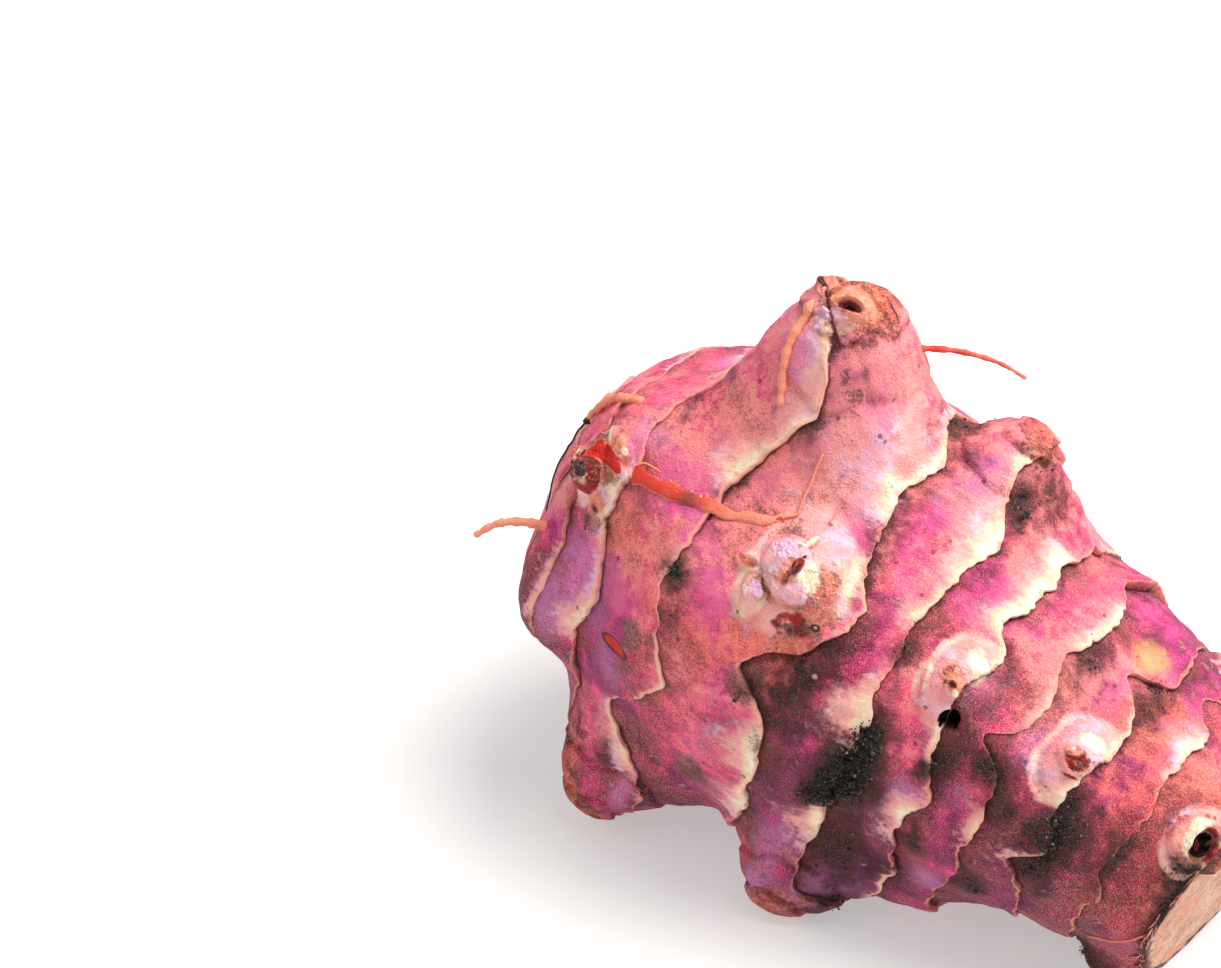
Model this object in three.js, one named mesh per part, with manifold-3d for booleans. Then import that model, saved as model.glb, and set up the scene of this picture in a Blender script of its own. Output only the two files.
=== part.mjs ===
// Jerusalem artichoke tuber, millimetres, +Z up, +X from the bud end to the cut end.
// The skin is one closed sheet laid out in rings along a bowed spine. Its rows follow the
// edges of the scale-like leaf bases, where the skin rises to a lip and steps down again.
// Branch knobs are pulled out of the sheet, and buds and rootlets are fused into it.
import * as THREE from "three";
import Module from "manifold-3d";

const TURN = 2 * Math.PI;
const rad = (degrees) => (degrees * Math.PI) / 180;
const clamp = (x, low, high) => Math.min(Math.max(x, low), high);

// Body, lengths measured along the spine and along the skin from the bud end.
const SPINE_LENGTH = 90;
const NOSE_LENGTH = 32;
const NOSE_SKIN = 46;
const GIRTH_RADIUS = 25;
const STALK_RADIUS = 11.3;
const FLATNESS = 0.96;
const PITCH = rad(12.4);
const BOW = 3.5;
const BUD_END = new THREE.Vector3(-45, 0, 32.5);
const NOSE_BLUNTNESS = 0.9;
const NOSE_FULLNESS = 0.85;
const TAPER_START = 0.95;
const TAPER_FULLNESS = 0.8;

// The stalk was cut here, nearly square to the spine.
const CUT_SKIN = 97.7;
const CUT_LEAN = 1.8;
const CUT_TURN = 60;

// The underside settles this far above the lowest point of the grown shape.
const REST_HEIGHT = 0.6;
const SLAB_SIDE = 200;
const SLAB_DEPTH = 10;

// Branch knobs. Angle 0 is up and 90 faces the viewer's side, -Y.
const KNOBS = [
  { name: "crown", skin: 43.4, angle: 0, height: 16.2, spread: 9.1, power: 3.0 },
  { name: "shoulder", skin: 24, angle: 30, height: 3.4, spread: 10, power: 2.2 },
  { name: "cheek", skin: 22, angle: 98, height: 4.5, spread: 7, power: 2.2 },
  { name: "near foot", skin: 38, angle: 140, height: 11, spread: 8, power: 2.6, lean: -4, slide: 2 },
  { name: "middle foot", skin: 59.2, angle: 138, height: 9.8, spread: 7.2, power: 2.6 },
  { name: "belly", skin: 73, angle: 143, height: 3.4, spread: 6, power: 2.4 },
  { name: "heel", skin: 93.2, angle: 150, height: 3.4, spread: 3.2, power: 2.4 },
  { name: "rim swell", skin: 98, angle: 150, height: 0.5, spread: 5, power: 2 },
  { name: "back shoulder", skin: 60, angle: -15, height: 8, spread: 7.5, power: 2 },
  { name: "back lump", skin: 76, angle: -30, height: 2, spread: 4, power: 2 },
  { name: "far foot", skin: 47, angle: -150, height: 6.9, spread: 7.5, power: 2.6 },
  { name: "far side", skin: 66, angle: -98, height: 6, spread: 6.5, power: 2.4 },
  { name: "far cheek", skin: 27, angle: -80, height: 3, spread: 8, power: 2.2 },
];

// Rings round a knob, as shares of its pull: the corky tip, then the collar below it.
const KNOB_RINGS = [0.86, 0.48];
const RINGED_KNOB = 5;
const KNOB_RING_DEPTH = 0.8;
const KNOB_RING_REACH = 0.16;
const KNOB_RING_WOBBLE = { reach: 0.05, first: 2, last: 6 };

// Ridges: where the edge of each scale lies, how marked the step behind it is, and where the
// edge swings along the tuber (angle, reach in mm, spread in degrees).
const RIDGES = [
  { skin: 24, depth: 0.7, swings: [[50, -1.5, 14], [200, 2, 30]] },
  { skin: 31, depth: 1.1, swings: [[44, 1, 10], [5, 1.5, 15], [160, -1.5, 20], [260, 2, 25]] },
  { skin: 41, depth: 1.2, swings: [[18, 3, 9], [45, -1, 18], [86, 1.5, 10], [108, -4, 9], [132, 2, 10],
    [225, -2, 18], [290, 2.5, 20]] },
  { skin: 53, depth: 1.7, swings: [[4, 1.5, 6], [44, 4.5, 13], [70, -4, 7], [95, 1.5, 10], [137, -3, 12],
    [190, 2.5, 18], [228, 4, 12], [320, -2, 14]] },
  { skin: 62, depth: 1.8, swings: [[-2, -2, 6], [10, 1.5, 7], [140, 3, 12], [215, -1.5, 14],
    [300, 2, 18]] },
  { skin: 69.5, depth: 1.7, swings: [[24, -2, 6], [47, -0.9, 7], [82, 1.5, 7], [180, -1.5, 15],
    [230, 2.5, 12], [285, -1.5, 12]] },
  { skin: 76, depth: 1.6, swings: [[22, -2, 6], [54, -3, 6], [81, 1, 8], [-18, -2, 8], [160, 1.5, 12],
    [250, -2, 15]] },
  { skin: 82.5, depth: 1.5, swings: [[-2, 1.5, 6], [10, -2.5, 5], [44, -0.6, 7], [86, -1.5, 5],
    [200, 1.5, 15], [226, 2, 10]] },
  { skin: 88.5, depth: 1.2, swings: [[-6, -1.5, 6], [84, 1.5, 6], [180, -1.5, 20], [280, 1, 20]] },
];
const STEP_DEPTH = 0.75;
const LIP_SHARE = 0.22;
const LIP_POWER = 4;
const CLIMB_POWER = 1.3;
const SWELL = 0.35;
const FIRST_SWELL = 0.14;

// Waves along an edge: reach in mm, and the first and last harmonic round the tuber.
const EDGE_WAVES = [
  { reach: 0.4, first: 5, last: 14, seed: 1 },
  { reach: 0.12, first: 15, last: 29, seed: 31 },
];
// How the step's depth changes round the tuber, as shares of STEP_DEPTH.
const STEP_WAVE = { middle: 0.8, swing: 0.45, first: 2, last: 7, seed: 11, least: 0.15, most: 1.5 };

// Broad unevenness of the skin: height, length along the tuber, turns round it, bend and phase.
const LONG_LUMPS = { height: 0.35, length: 5.3, turns: 3, bend: 2.1 };
const SHORT_LUMPS = { height: 0.3, length: 3.1, turns: 4, phase: 1.7 };

// Relief grows from the bud end's point over this length, and ends before the flat cut.
const POINT_FADE = 8;
const RIM_FADE_START = 0.6;

// Eyes: a low mound inside a creased ring, or a pit. Each has its bud and scales: place along and
// round from the eye's middle in mm, turn of the long axis in degrees, half sizes and height in mm.
const MAIN_BUD = [
  [-1.6, 0.3, 45, 2.6, 2.0, 1.5],
  [0.5, 0.1, 100, 1.9, 1.0, 1.1],
  [1.9, 1.7, -45, 2.2, 1.1, 1.1],
  [1.7, -0.9, 45, 2.2, 0.9, 1.2],
  [-2.2, 4.4, 45, 1.6, 1.0, 0.7],
  [-3.8, 2.5, 0, 1.0, 0.9, 0.6],
];
const END_BUD = [
  [0.1, 0.2, 20, 2.0, 1.6, 1.8],
  [-2.6, -1.2, 30, 1.5, 0.9, 0.9],
  [0.8, -4.0, 60, 1.4, 0.9, 0.6],
];
const SIDE_BUD = [
  [0.1, 0.1, 30, 1.3, 1.1, 1.1],
  [-1.0, 0.3, 20, 1.9, 1.4, 0.8],
];
const SMALL_BUD = [[0, 0, 0, 1.1, 1.0, 0.9]];
const EYES = [
  { skin: 50, angle: 44, size: 6.2, mound: 1.8, scales: MAIN_BUD },
  { skin: 68, angle: 45, size: 4.4, mound: 1.2, scales: SMALL_BUD },
  { skin: 69.6, angle: 54.5, size: 1.5, mound: -0.9, scales: [] },
  { skin: 81, angle: 44, size: 4.2, mound: 1.2, scales: SMALL_BUD },
  { skin: 93.8, angle: 43, size: 3.4, mound: 0.9, scales: SMALL_BUD },
  { skin: 24.6, angle: 47, size: 3.6, mound: 1.2, scales: END_BUD },
  { skin: 36.5, angle: 87, size: 1.5, mound: -0.3, scales: [] },
  { skin: 50, angle: 226, size: 5.0, mound: 1.4, scales: SIDE_BUD },
  { skin: 68, angle: 228, size: 4.2, mound: 1.2, scales: SMALL_BUD },
  { skin: 81, angle: 224, size: 3.8, mound: 1.1, scales: SMALL_BUD },
  { skin: 36, angle: 318, size: 4.2, mound: 1.3, scales: SIDE_BUD },
  { skin: 86, angle: 315, size: 3.4, mound: 1.0, scales: SMALL_BUD },
  { skin: 34, angle: 185, size: 3.8, mound: 1.0, scales: SMALL_BUD },
];
const MOUND_SPREAD = 0.7;
const RING_DEPTH = 0.35;
const RING_WIDTH = 0.16;

// Rootlets. A step is [skin, angle, lift]; reach holds steps in the air past the last one.
const ROOTLETS = [
  { from: 1.1, to: 0.4, steps: [[26.5, 41, 0.1], [32, 42, 0.1], [38, 40.5, 0.1], [43, 38, 0.1],
    [46.5, 36, 0.1]] },
  { from: 0.45, to: 0.3, steps: [[46.6, 36.5, 0.2], [46, 29, 0.35], [46.6, 22, 0.1]] },
  { from: 0.55, to: 0.4, steps: [[41.6, 1, 0.3], [40.6, 8, 0.3], [40.6, 14, 0.3], [41.6, 20, 0.1]] },
  { from: 0.6, to: 0.35, steps: [[20.5, 70, -0.4]], reach: [[-2.3, -1.7, 0.7], [-4.5, -3.3, 0.4],
    [-6.2, -4.7, -1.0]] },
  { from: 0.6, to: 0.35, steps: [[26.5, 22, -0.2], [22, 25, 0.5], [18, 32, 0.7], [16, 43, 0.5],
    [15, 55, 0.2]] },
  { from: 0.5, to: 0.3, steps: [[48, -9, -0.4]], reach: [[3.4, 2.4, -0.3], [6.8, 4.9, -1.7],
    [9.2, 6.6, -3.6]] },
  { from: 0.6, to: 0.35, steps: [[49, 215, -0.2], [46, 222, 0.6], [44, 230, 0.5], [45, 240, 0.1]] },
  { from: 0.5, to: 0.3, steps: [[65, 262, -0.4]], reach: [[1.2, 2.6, -0.6], [2.2, 4.6, -2.2]] },
  { from: 0.7, to: 0.35, steps: [[30, 205, 0.2], [35, 200, 0.6], [40, 204, 0.4], [44, 203, 0.1]] },
  { from: 0.5, to: 0.3, steps: [[86, 232, -0.3]], reach: [[1.4, 2.0, 0.8], [3.0, 3.4, 0.6]] },
];
const ROOTLET_SIDES = 5;
const ROOTLET_STEPS = 2;
const ROOTLET_DEPTH = 2.2;
const TIP_SHARE = 0.7;

// Mesh layout.
const COLUMNS = 80;
const ROW_PITCH = 3.8;
const FEWEST_ROWS = 4;
const MOST_ROWS = 8;
const CUT_RINGS = [0.86, 0.45];
const GROOVE_START = 0.04;
const FINE_SCALE = 1.25;
const ANGLE_SAMPLES = 720;
const PROBE_START = 20;
const PROBE_PITCH = 4;
const REACH_TURN = 10;
const REACH_STEPS = 8;

const SKIN_COLOUR = 0xc4667f;

// A repeatable number from 0 to 1 for a pair of whole numbers.
function chance(a, b) {
  const x = Math.sin(a * 12.9898 + b * 78.233) * 43758.5453;
  return x - Math.floor(x);
}

// A wave round the tuber made of a few harmonics with seeded phases, about -1 to 1.
function wave(seed, angle, first, last) {
  let sum = 0;
  let weight = 0;
  for (let m = first; m <= last; m += 1) {
    const share = 1 / Math.sqrt(m - first + 1);
    sum += share * Math.sin(m * angle + TURN * chance(seed, m));
    weight += share * share;
  }
  return sum / Math.sqrt(weight);
}

// Shortest signed turn between two angles in degrees.
function turnBetween(a, b) {
  return ((((a - b + 180) % 360) + 360) % 360) - 180;
}

function smooth(x) {
  const t = clamp(x, 0, 1);
  return t * t * (3 - 2 * t);
}

const SPINE = new THREE.Vector3(Math.cos(PITCH), 0, -Math.sin(PITCH));
const UP = new THREE.Vector3(0, 0, 1);

// Frame of the spine at a distance along it.
function spineAt(along) {
  const t = along / SPINE_LENGTH;
  const point = BUD_END.clone().addScaledVector(SPINE, along).addScaledVector(UP, 4 * t * (1 - t) * BOW);
  const tangent = SPINE.clone().addScaledVector(UP, (4 * (1 - 2 * t) * BOW) / SPINE_LENGTH).normalize();
  const side = tangent.clone().cross(UP).normalize();
  const up = side.clone().cross(tangent);
  return { point, tangent, side, up };
}

// Distance along the spine and radius for a distance along the skin.
function profileAt(skin) {
  const phi = (clamp(skin / NOSE_SKIN, 0, 1) * Math.PI) / 2;
  if (skin < NOSE_SKIN) {
    const along = NOSE_LENGTH * (1 - Math.cos(phi) ** NOSE_BLUNTNESS);
    return { along, radius: GIRTH_RADIUS * Math.sin(phi) ** NOSE_FULLNESS };
  }
  const along = NOSE_LENGTH + skin - NOSE_SKIN;
  const share = (along - NOSE_LENGTH) / (SPINE_LENGTH - NOSE_LENGTH);
  const taper = (1 - Math.cos((Math.PI / 2) * share ** TAPER_START)) ** TAPER_FULLNESS;
  return { along, radius: GIRTH_RADIUS - (GIRTH_RADIUS - STALK_RADIUS) * taper };
}

// Point on the round body before knobs, with its outward, along and round directions.
function roundBody(skin, angle) {
  const { along, radius } = profileAt(skin);
  const { point, tangent, side, up } = spineAt(along);
  const c = Math.cos(rad(angle));
  const s = Math.sin(rad(angle));
  const out = up.clone().multiplyScalar(c * FLATNESS).addScaledVector(side, s);
  const round = side.clone().multiplyScalar(c).addScaledVector(up, -s);
  return { point: point.addScaledVector(out, radius), out, tangent, round };
}

for (const knob of KNOBS) {
  knob.centre = roundBody(knob.skin, knob.angle);
}

function knobPull(knob, point) {
  return Math.exp(-((point.distanceTo(knob.centre.point) / knob.spread) ** knob.power));
}

// Body with its knobs pulled out, still without scales.
function plainSkin(skin, angle) {
  const { point } = roundBody(skin, angle);
  const moved = point.clone();
  for (const knob of KNOBS) {
    const pull = knobPull(knob, point);
    moved.addScaledVector(knob.centre.out, pull * knob.height);
    moved.addScaledVector(knob.centre.tangent, pull * (knob.lean ?? 0));
    moved.addScaledVector(knob.centre.round, pull * (knob.slide ?? 0));
  }
  return moved;
}

function outwardAt(skin, angle) {
  const step = 0.4;
  const turn = 1.0;
  const along = plainSkin(skin + step, angle).sub(plainSkin(Math.max(skin - step, 0), angle));
  const round = plainSkin(skin, angle + turn).sub(plainSkin(skin, angle - turn));
  const out = round.cross(along).normalize();
  return out.dot(roundBody(skin, angle).out) < 0 ? out.negate() : out;
}

// Where ridge k lies at an angle; the last one is the rim of the cut.
function ridgeSkin(k, angle) {
  if (k < 0) {
    return 0;
  }
  if (k === RIDGES.length) {
    return CUT_SKIN - CUT_LEAN * Math.cos(rad(angle - CUT_TURN));
  }
  let skin = RIDGES[k].skin;
  for (const [at, reach, spread] of RIDGES[k].swings) {
    skin += reach * Math.exp(-((turnBetween(angle, at) / spread) ** 2));
  }
  for (const { reach, first, last, seed } of EDGE_WAVES) {
    skin += reach * wave(k + seed, rad(angle), first, last);
  }
  return skin;
}

// Depth of the step behind ridge k.
function stepDepth(k, angle) {
  if (k < 0 || k === RIDGES.length) {
    return 0;
  }
  const { middle, swing, first, last, seed, least, most } = STEP_WAVE;
  const share = middle + swing * wave(k + seed, rad(angle), first, last);
  return STEP_DEPTH * RIDGES[k].depth * clamp(share, least, most);
}

// Height of a scale's skin at share t of the way from its groove to its lip.
function scaleRelief(k, t, angle) {
  const groove = -stepDepth(k - 1, angle) * (1 - t) ** CLIMB_POWER;
  const lip = LIP_SHARE * stepDepth(k, angle) * t ** LIP_POWER;
  return groove + lip + (k > 0 ? SWELL : FIRST_SWELL) * 4 * t * (1 - t);
}

// Rings round the tall knobs: the skin steps down away from the tip.
function knobRelief(point) {
  let relief = 0;
  for (const knob of KNOBS) {
    if (knob.height < RINGED_KNOB) {
      continue;
    }
    const heading = Math.atan2(point.y - knob.centre.point.y, point.x - knob.centre.point.x);
    const { reach, first, last } = KNOB_RING_WOBBLE;
    const pull = knobPull(knob, point) + reach * wave(knob.skin, heading, first, last);
    for (const ring of KNOB_RINGS) {
      const past = ring - pull;
      if (past > 0 && past < KNOB_RING_REACH) {
        relief -= KNOB_RING_DEPTH * (1 - past / KNOB_RING_REACH);
      }
    }
  }
  return relief;
}

function eyeRelief(point) {
  let relief = 0;
  for (const eye of EYES) {
    const reach = point.distanceTo(eye.centre) / eye.size;
    relief += eye.mound * Math.exp(-((reach / MOUND_SPREAD) ** 2));
    if (eye.mound > 0) {
      relief -= RING_DEPTH * Math.exp(-(((reach - 1) / RING_WIDTH) ** 2));
    }
  }
  return relief;
}

for (const eye of EYES) {
  eye.centre = plainSkin(eye.skin, eye.angle);
}

function lumps(skin, angle) {
  const bend = LONG_LUMPS.bend * Math.sin(LONG_LUMPS.turns * rad(angle));
  const twist = SHORT_LUMPS.turns * rad(angle) + SHORT_LUMPS.phase;
  return LONG_LUMPS.height * Math.sin(skin / LONG_LUMPS.length + bend)
    + SHORT_LUMPS.height * Math.sin(skin / SHORT_LUMPS.length + twist);
}

// Finished skin at share t of segment k.
function skinPoint(k, t, angle) {
  const start = ridgeSkin(k - 1, angle);
  const end = ridgeSkin(k, angle);
  const skin = start + (end - start) * t;
  const plain = plainSkin(skin, angle);
  const beforeCut = k === RIDGES.length ? smooth((1 - t) / (1 - RIM_FADE_START)) : 1;
  const fade = smooth(skin / POINT_FADE) * beforeCut;
  const relief = fade * (scaleRelief(k, t, angle) + lumps(skin, angle))
    + knobRelief(roundBody(skin, angle).point) + eyeRelief(plain);
  return plain.addScaledVector(outwardAt(skin, angle), relief);
}

// Angles of the columns, closer together where knobs stretch the skin.
function columnAngles(count) {
  const sampleAngle = (i) => (i * 360) / ANGLE_SAMPLES;
  const total = [0];
  for (let i = 0; i < ANGLE_SAMPLES; i += 1) {
    let longest = 0;
    for (let skin = PROBE_START; skin < CUT_SKIN; skin += PROBE_PITCH) {
      const here = plainSkin(skin, sampleAngle(i));
      longest = Math.max(longest, here.distanceTo(plainSkin(skin, sampleAngle(i + 1))));
    }
    total.push(total[i] + longest);
  }
  const angles = [];
  let i = 0;
  for (let j = 0; j < count; j += 1) {
    const goal = (total[ANGLE_SAMPLES] * j) / count;
    while (total[i + 1] < goal) {
      i += 1;
    }
    angles.push(sampleAngle(i + (goal - total[i]) / (total[i + 1] - total[i])));
  }
  return angles;
}

// Longest way across segment k over the skin, knobs included.
function segmentReach(k) {
  let longest = 0;
  for (let angle = 0; angle < 360; angle += REACH_TURN) {
    const start = ridgeSkin(k - 1, angle);
    const end = ridgeSkin(k, angle);
    let reach = 0;
    let last = plainSkin(start, angle);
    for (let i = 1; i <= REACH_STEPS; i += 1) {
      const next = plainSkin(start + ((end - start) * i) / REACH_STEPS, angle);
      reach += next.distanceTo(last);
      last = next;
    }
    longest = Math.max(longest, reach);
  }
  return longest;
}

// Shares of a segment at which its rows lie; the first is its groove, the last its lip.
function rowShares(k) {
  const rows = clamp(Math.round(segmentReach(k) / ROW_PITCH), FEWEST_ROWS, MOST_ROWS);
  const shares = [];
  for (let i = k === 0 ? 1 : 0; i <= rows; i += 1) {
    shares.push(i / rows);
  }
  return shares;
}

function skinRings(angles) {
  const rings = [];
  for (let k = 0; k <= RIDGES.length; k += 1) {
    for (const share of rowShares(k)) {
      const t = k > 0 ? Math.max(share, GROOVE_START) : share;
      rings.push(angles.map((angle) => skinPoint(k, t, angle)));
    }
  }
  return rings;
}

// The cut face is flat: its rim is slid along the spine into one plane.
function flattenCut(rim) {
  const centre = new THREE.Vector3();
  rim.forEach((point) => centre.addScaledVector(point, 1 / rim.length));
  const { tangent, side, up } = spineAt(NOSE_LENGTH + CUT_SKIN - NOSE_SKIN);
  const lean = CUT_LEAN / STALK_RADIUS;
  const normal = tangent.clone()
    .addScaledVector(side, lean * Math.sin(rad(CUT_TURN)))
    .addScaledVector(up, lean * Math.cos(rad(CUT_TURN)))
    .normalize();
  for (const point of rim) {
    const off = point.clone().sub(centre).dot(normal) / tangent.dot(normal);
    point.addScaledVector(tangent, -off);
  }
  return centre;
}

// One closed skin: fan at the bud end, bands between rings, rings and fan on the cut face.
function tuberBody() {
  const rings = skinRings(columnAngles(COLUMNS));
  const rim = rings[rings.length - 1];
  const cutCentre = flattenCut(rim);
  for (const share of CUT_RINGS) {
    rings.push(rim.map((point) => point.clone().lerp(cutCentre, 1 - share)));
  }
  const points = [plainSkin(0, 0), ...rings.flat(), cutCentre];
  const faces = [];
  const at = (ring, column) => 1 + ring * COLUMNS + (column % COLUMNS);
  for (let j = 0; j < COLUMNS; j += 1) {
    faces.push(0, at(0, j + 1), at(0, j));
    for (let i = 0; i + 1 < rings.length; i += 1) {
      faces.push(at(i, j), at(i, j + 1), at(i + 1, j + 1));
      faces.push(at(i, j), at(i + 1, j + 1), at(i + 1, j));
    }
    faces.push(at(rings.length - 1, j), at(rings.length - 1, j + 1), points.length - 1);
  }
  return { points, faces };
}

// A bud scale: an ellipsoid that sits on the skin near its eye.
function budScale(eye, [along, round, turn, length, width, height]) {
  const skin = eye.skin + along;
  const angle = eye.angle + (round / profileAt(eye.skin).radius) * (180 / Math.PI);
  const out = outwardAt(skin, angle);
  const ahead = roundBody(skin, angle).tangent.clone();
  ahead.addScaledVector(out, -ahead.dot(out)).normalize();
  const across = ahead.clone().cross(out);
  const way = ahead.multiplyScalar(Math.cos(rad(turn))).addScaledVector(across, Math.sin(rad(turn)));
  const seat = plainSkin(skin, angle);
  const centre = seat.clone().addScaledVector(out, eyeRelief(seat));
  const dome = new THREE.IcosahedronGeometry(1, length > FINE_SCALE ? 1 : 0);
  dome.scale(length, width, height);
  dome.applyMatrix4(new THREE.Matrix4().makeBasis(way, out.clone().cross(way), out).setPosition(centre));
  return solidFrom(dome);
}

// A rootlet: a tapered tube along a curve that starts and ends below the skin.
function rootletSolid(rootlet) {
  const stops = rootlet.steps.map(([skin, angle, lift]) => plainSkin(skin, angle)
    .addScaledVector(outwardAt(skin, angle), lift));
  const root = stops[stops.length - 1];
  for (const [x, y, z] of rootlet.reach ?? []) {
    stops.push(root.clone().add(new THREE.Vector3(x, y, z)));
  }
  const [skin, angle] = rootlet.steps[0];
  const start = stops[0].clone().addScaledVector(outwardAt(skin, angle), -ROOTLET_DEPTH);
  const curve = new THREE.CatmullRomCurve3([start, ...stops]);
  const rings = [];
  const count = stops.length * ROOTLET_STEPS;
  const frames = curve.computeFrenetFrames(count, false);
  for (let i = 0; i <= count; i += 1) {
    const radius = rootlet.from + (rootlet.to - rootlet.from) * (i / count);
    const centre = curve.getPointAt(i / count);
    const ring = [];
    for (let j = 0; j < ROOTLET_SIDES; j += 1) {
      const a = (TURN * j) / ROOTLET_SIDES;
      ring.push(centre.clone()
        .addScaledVector(frames.normals[i], radius * Math.cos(a))
        .addScaledVector(frames.binormals[i], radius * Math.sin(a)));
    }
    rings.push(ring);
  }
  const tip = curve.getPointAt(1).addScaledVector(curve.getTangentAt(1), rootlet.to * TIP_SHARE);
  const points = [start, ...rings.flat(), tip];
  const faces = [];
  const at = (ring, j) => 1 + ring * ROOTLET_SIDES + (j % ROOTLET_SIDES);
  for (let j = 0; j < ROOTLET_SIDES; j += 1) {
    faces.push(0, at(0, j + 1), at(0, j));
    for (let i = 0; i < count; i += 1) {
      faces.push(at(i, j), at(i, j + 1), at(i + 1, j + 1));
      faces.push(at(i, j), at(i + 1, j + 1), at(i + 1, j));
    }
    faces.push(at(count, j), at(count, j + 1), points.length - 1);
  }
  return solidFromSheet(points, faces);
}

const wasm = await Module();
wasm.setup();

function signedVolume(points, faces) {
  let volume = 0;
  for (let i = 0; i < faces.length; i += 3) {
    const [a, b, c] = [points[faces[i]], points[faces[i + 1]], points[faces[i + 2]]];
    volume += a.dot(b.clone().cross(c)) / 6;
  }
  return volume;
}

// A solid from a closed sheet of faces, turned right side out.
function solidFromSheet(points, faces) {
  const corners = faces.slice();
  if (signedVolume(points, faces) < 0) {
    for (let i = 0; i < corners.length; i += 3) {
      [corners[i + 1], corners[i + 2]] = [corners[i + 2], corners[i + 1]];
    }
  }
  return new wasm.Manifold(new wasm.Mesh({
    numProp: 3,
    vertProperties: new Float32Array(points.flatMap((p) => [p.x, p.y, p.z])),
    triVerts: new Uint32Array(corners),
  }));
}

function solidFrom(geometry) {
  const loose = geometry.index ? geometry.toNonIndexed() : geometry;
  const spots = loose.getAttribute("position");
  const seen = new Map();
  const points = [];
  const faces = [];
  for (let i = 0; i < spots.count; i += 1) {
    const point = new THREE.Vector3().fromBufferAttribute(spots, i);
    const key = [point.x, point.y, point.z].map((v) => v.toFixed(4)).join(",");
    if (!seen.has(key)) {
      seen.set(key, points.length);
      points.push(point);
    }
    faces.push(seen.get(key));
  }
  return solidFromSheet(points, faces);
}

function geometryFrom(solid) {
  const mesh = solid.getMesh();
  const spots = new Float32Array(mesh.numVert * 3);
  for (let i = 0; i < mesh.numVert; i += 1) {
    for (let j = 0; j < 3; j += 1) {
      spots[i * 3 + j] = mesh.vertProperties[i * mesh.numProp + j];
    }
  }
  const geometry = new THREE.BufferGeometry();
  geometry.setAttribute("position", new THREE.BufferAttribute(spots, 3));
  geometry.setIndex(new THREE.BufferAttribute(new Uint32Array(mesh.triVerts), 1));
  return geometry;
}

// The feet are sliced level, which leaves the small flats that the tuber stands on.
function settled(solid) {
  const { min, max } = solid.boundingBox();
  const floor = min[2] + REST_HEIGHT;
  const middle = [(min[0] + max[0]) / 2, (min[1] + max[1]) / 2];
  const slab = new THREE.BoxGeometry(SLAB_SIDE, SLAB_SIDE, SLAB_DEPTH);
  slab.translate(middle[0], middle[1], floor - SLAB_DEPTH / 2);
  const geometry = geometryFrom(solid.subtract(solidFrom(slab)));
  geometry.translate(-middle[0], -middle[1], -floor);
  geometry.computeVertexNormals();
  return geometry;
}

const body = tuberBody();
let tuber = solidFromSheet(body.points, body.faces);
for (const eye of EYES) {
  for (const scale of eye.scales) {
    tuber = tuber.add(budScale(eye, scale));
  }
}
for (const rootlet of ROOTLETS) {
  tuber = tuber.add(rootletSolid(rootlet));
}

const material = new THREE.MeshStandardMaterial({ name: "skin", color: SKIN_COLOUR, roughness: 0.7 });
const mesh = new THREE.Mesh(settled(tuber), material);
mesh.name = "tuber";
const group = new THREE.Group();
group.name = "jerusalem_artichoke";
group.add(mesh);

export default group;
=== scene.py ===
"""Jerusalem artichoke tuber: its skin, eyes, cut face, rootlets and soil."""

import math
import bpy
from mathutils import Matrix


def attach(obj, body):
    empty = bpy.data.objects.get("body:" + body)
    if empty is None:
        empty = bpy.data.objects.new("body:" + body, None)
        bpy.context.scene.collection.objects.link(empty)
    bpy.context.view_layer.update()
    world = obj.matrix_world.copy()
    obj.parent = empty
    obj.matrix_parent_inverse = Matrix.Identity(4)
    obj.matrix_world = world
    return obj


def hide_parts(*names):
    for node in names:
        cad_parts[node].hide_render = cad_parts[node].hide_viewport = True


bl_info = {
    "name": "Jerusalem Artichoke",
    "version": (1, 0, 0),
    "blender": (4, 5, 0),
    "location": "View3D > Sidebar > Tuber",
    "description": "Grows a knobbly tuber with scale ridges, eyes, rootlets and soil, and lights it",
    "category": "Add Mesh",
}

from collections import namedtuple
from functools import lru_cache

import bpy
import numpy as np
from bpy.props import FloatProperty, FloatVectorProperty, IntProperty, PointerProperty
from bpy.types import Operator, Panel, PropertyGroup
from mathutils import Vector

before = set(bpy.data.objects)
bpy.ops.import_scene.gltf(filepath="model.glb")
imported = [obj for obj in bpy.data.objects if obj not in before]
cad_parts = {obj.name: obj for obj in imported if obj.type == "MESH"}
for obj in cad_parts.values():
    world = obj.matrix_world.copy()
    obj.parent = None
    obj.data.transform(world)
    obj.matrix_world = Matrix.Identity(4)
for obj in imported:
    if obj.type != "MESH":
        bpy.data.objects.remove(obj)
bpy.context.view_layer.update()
BODY = "root"
NODE = "tuber"

TURN = 2.0 * math.pi
MM = 0.001

# Body, millimetres, lengths measured along the spine and along the skin from the bud end.
SPINE_LENGTH = 90.0
NOSE_LENGTH = 32.0
NOSE_SKIN = 46.0
GIRTH_RADIUS = 25.0
STALK_RADIUS = 11.3
FLATNESS = 0.96
PITCH = math.radians(12.4)
BOW = 3.5
BUD_END = np.array([-45.0, 0.0, 32.5])
CUT_SKIN = 97.7
CUT_LEAN = 1.8
CUT_TURN = 60.0

# Rings of the cut face as shares of its rim, and the saw's lines across it.
CUT_RINGS = (1.0, 0.985, 0.96, 0.93, 0.9, 0.86, 0.8, 0.72, 0.64, 0.56, 0.48, 0.4, 0.32, 0.24, 0.16,
             0.08)
SAW_DEPTH = 0.25
SAW_LINES = (0.4, 2.2, 2.6)

# How far the grown shape moves to stand on its feet in the middle of the frame.
SETTLE = np.array([2.41, -3.56, -2.37])

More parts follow.
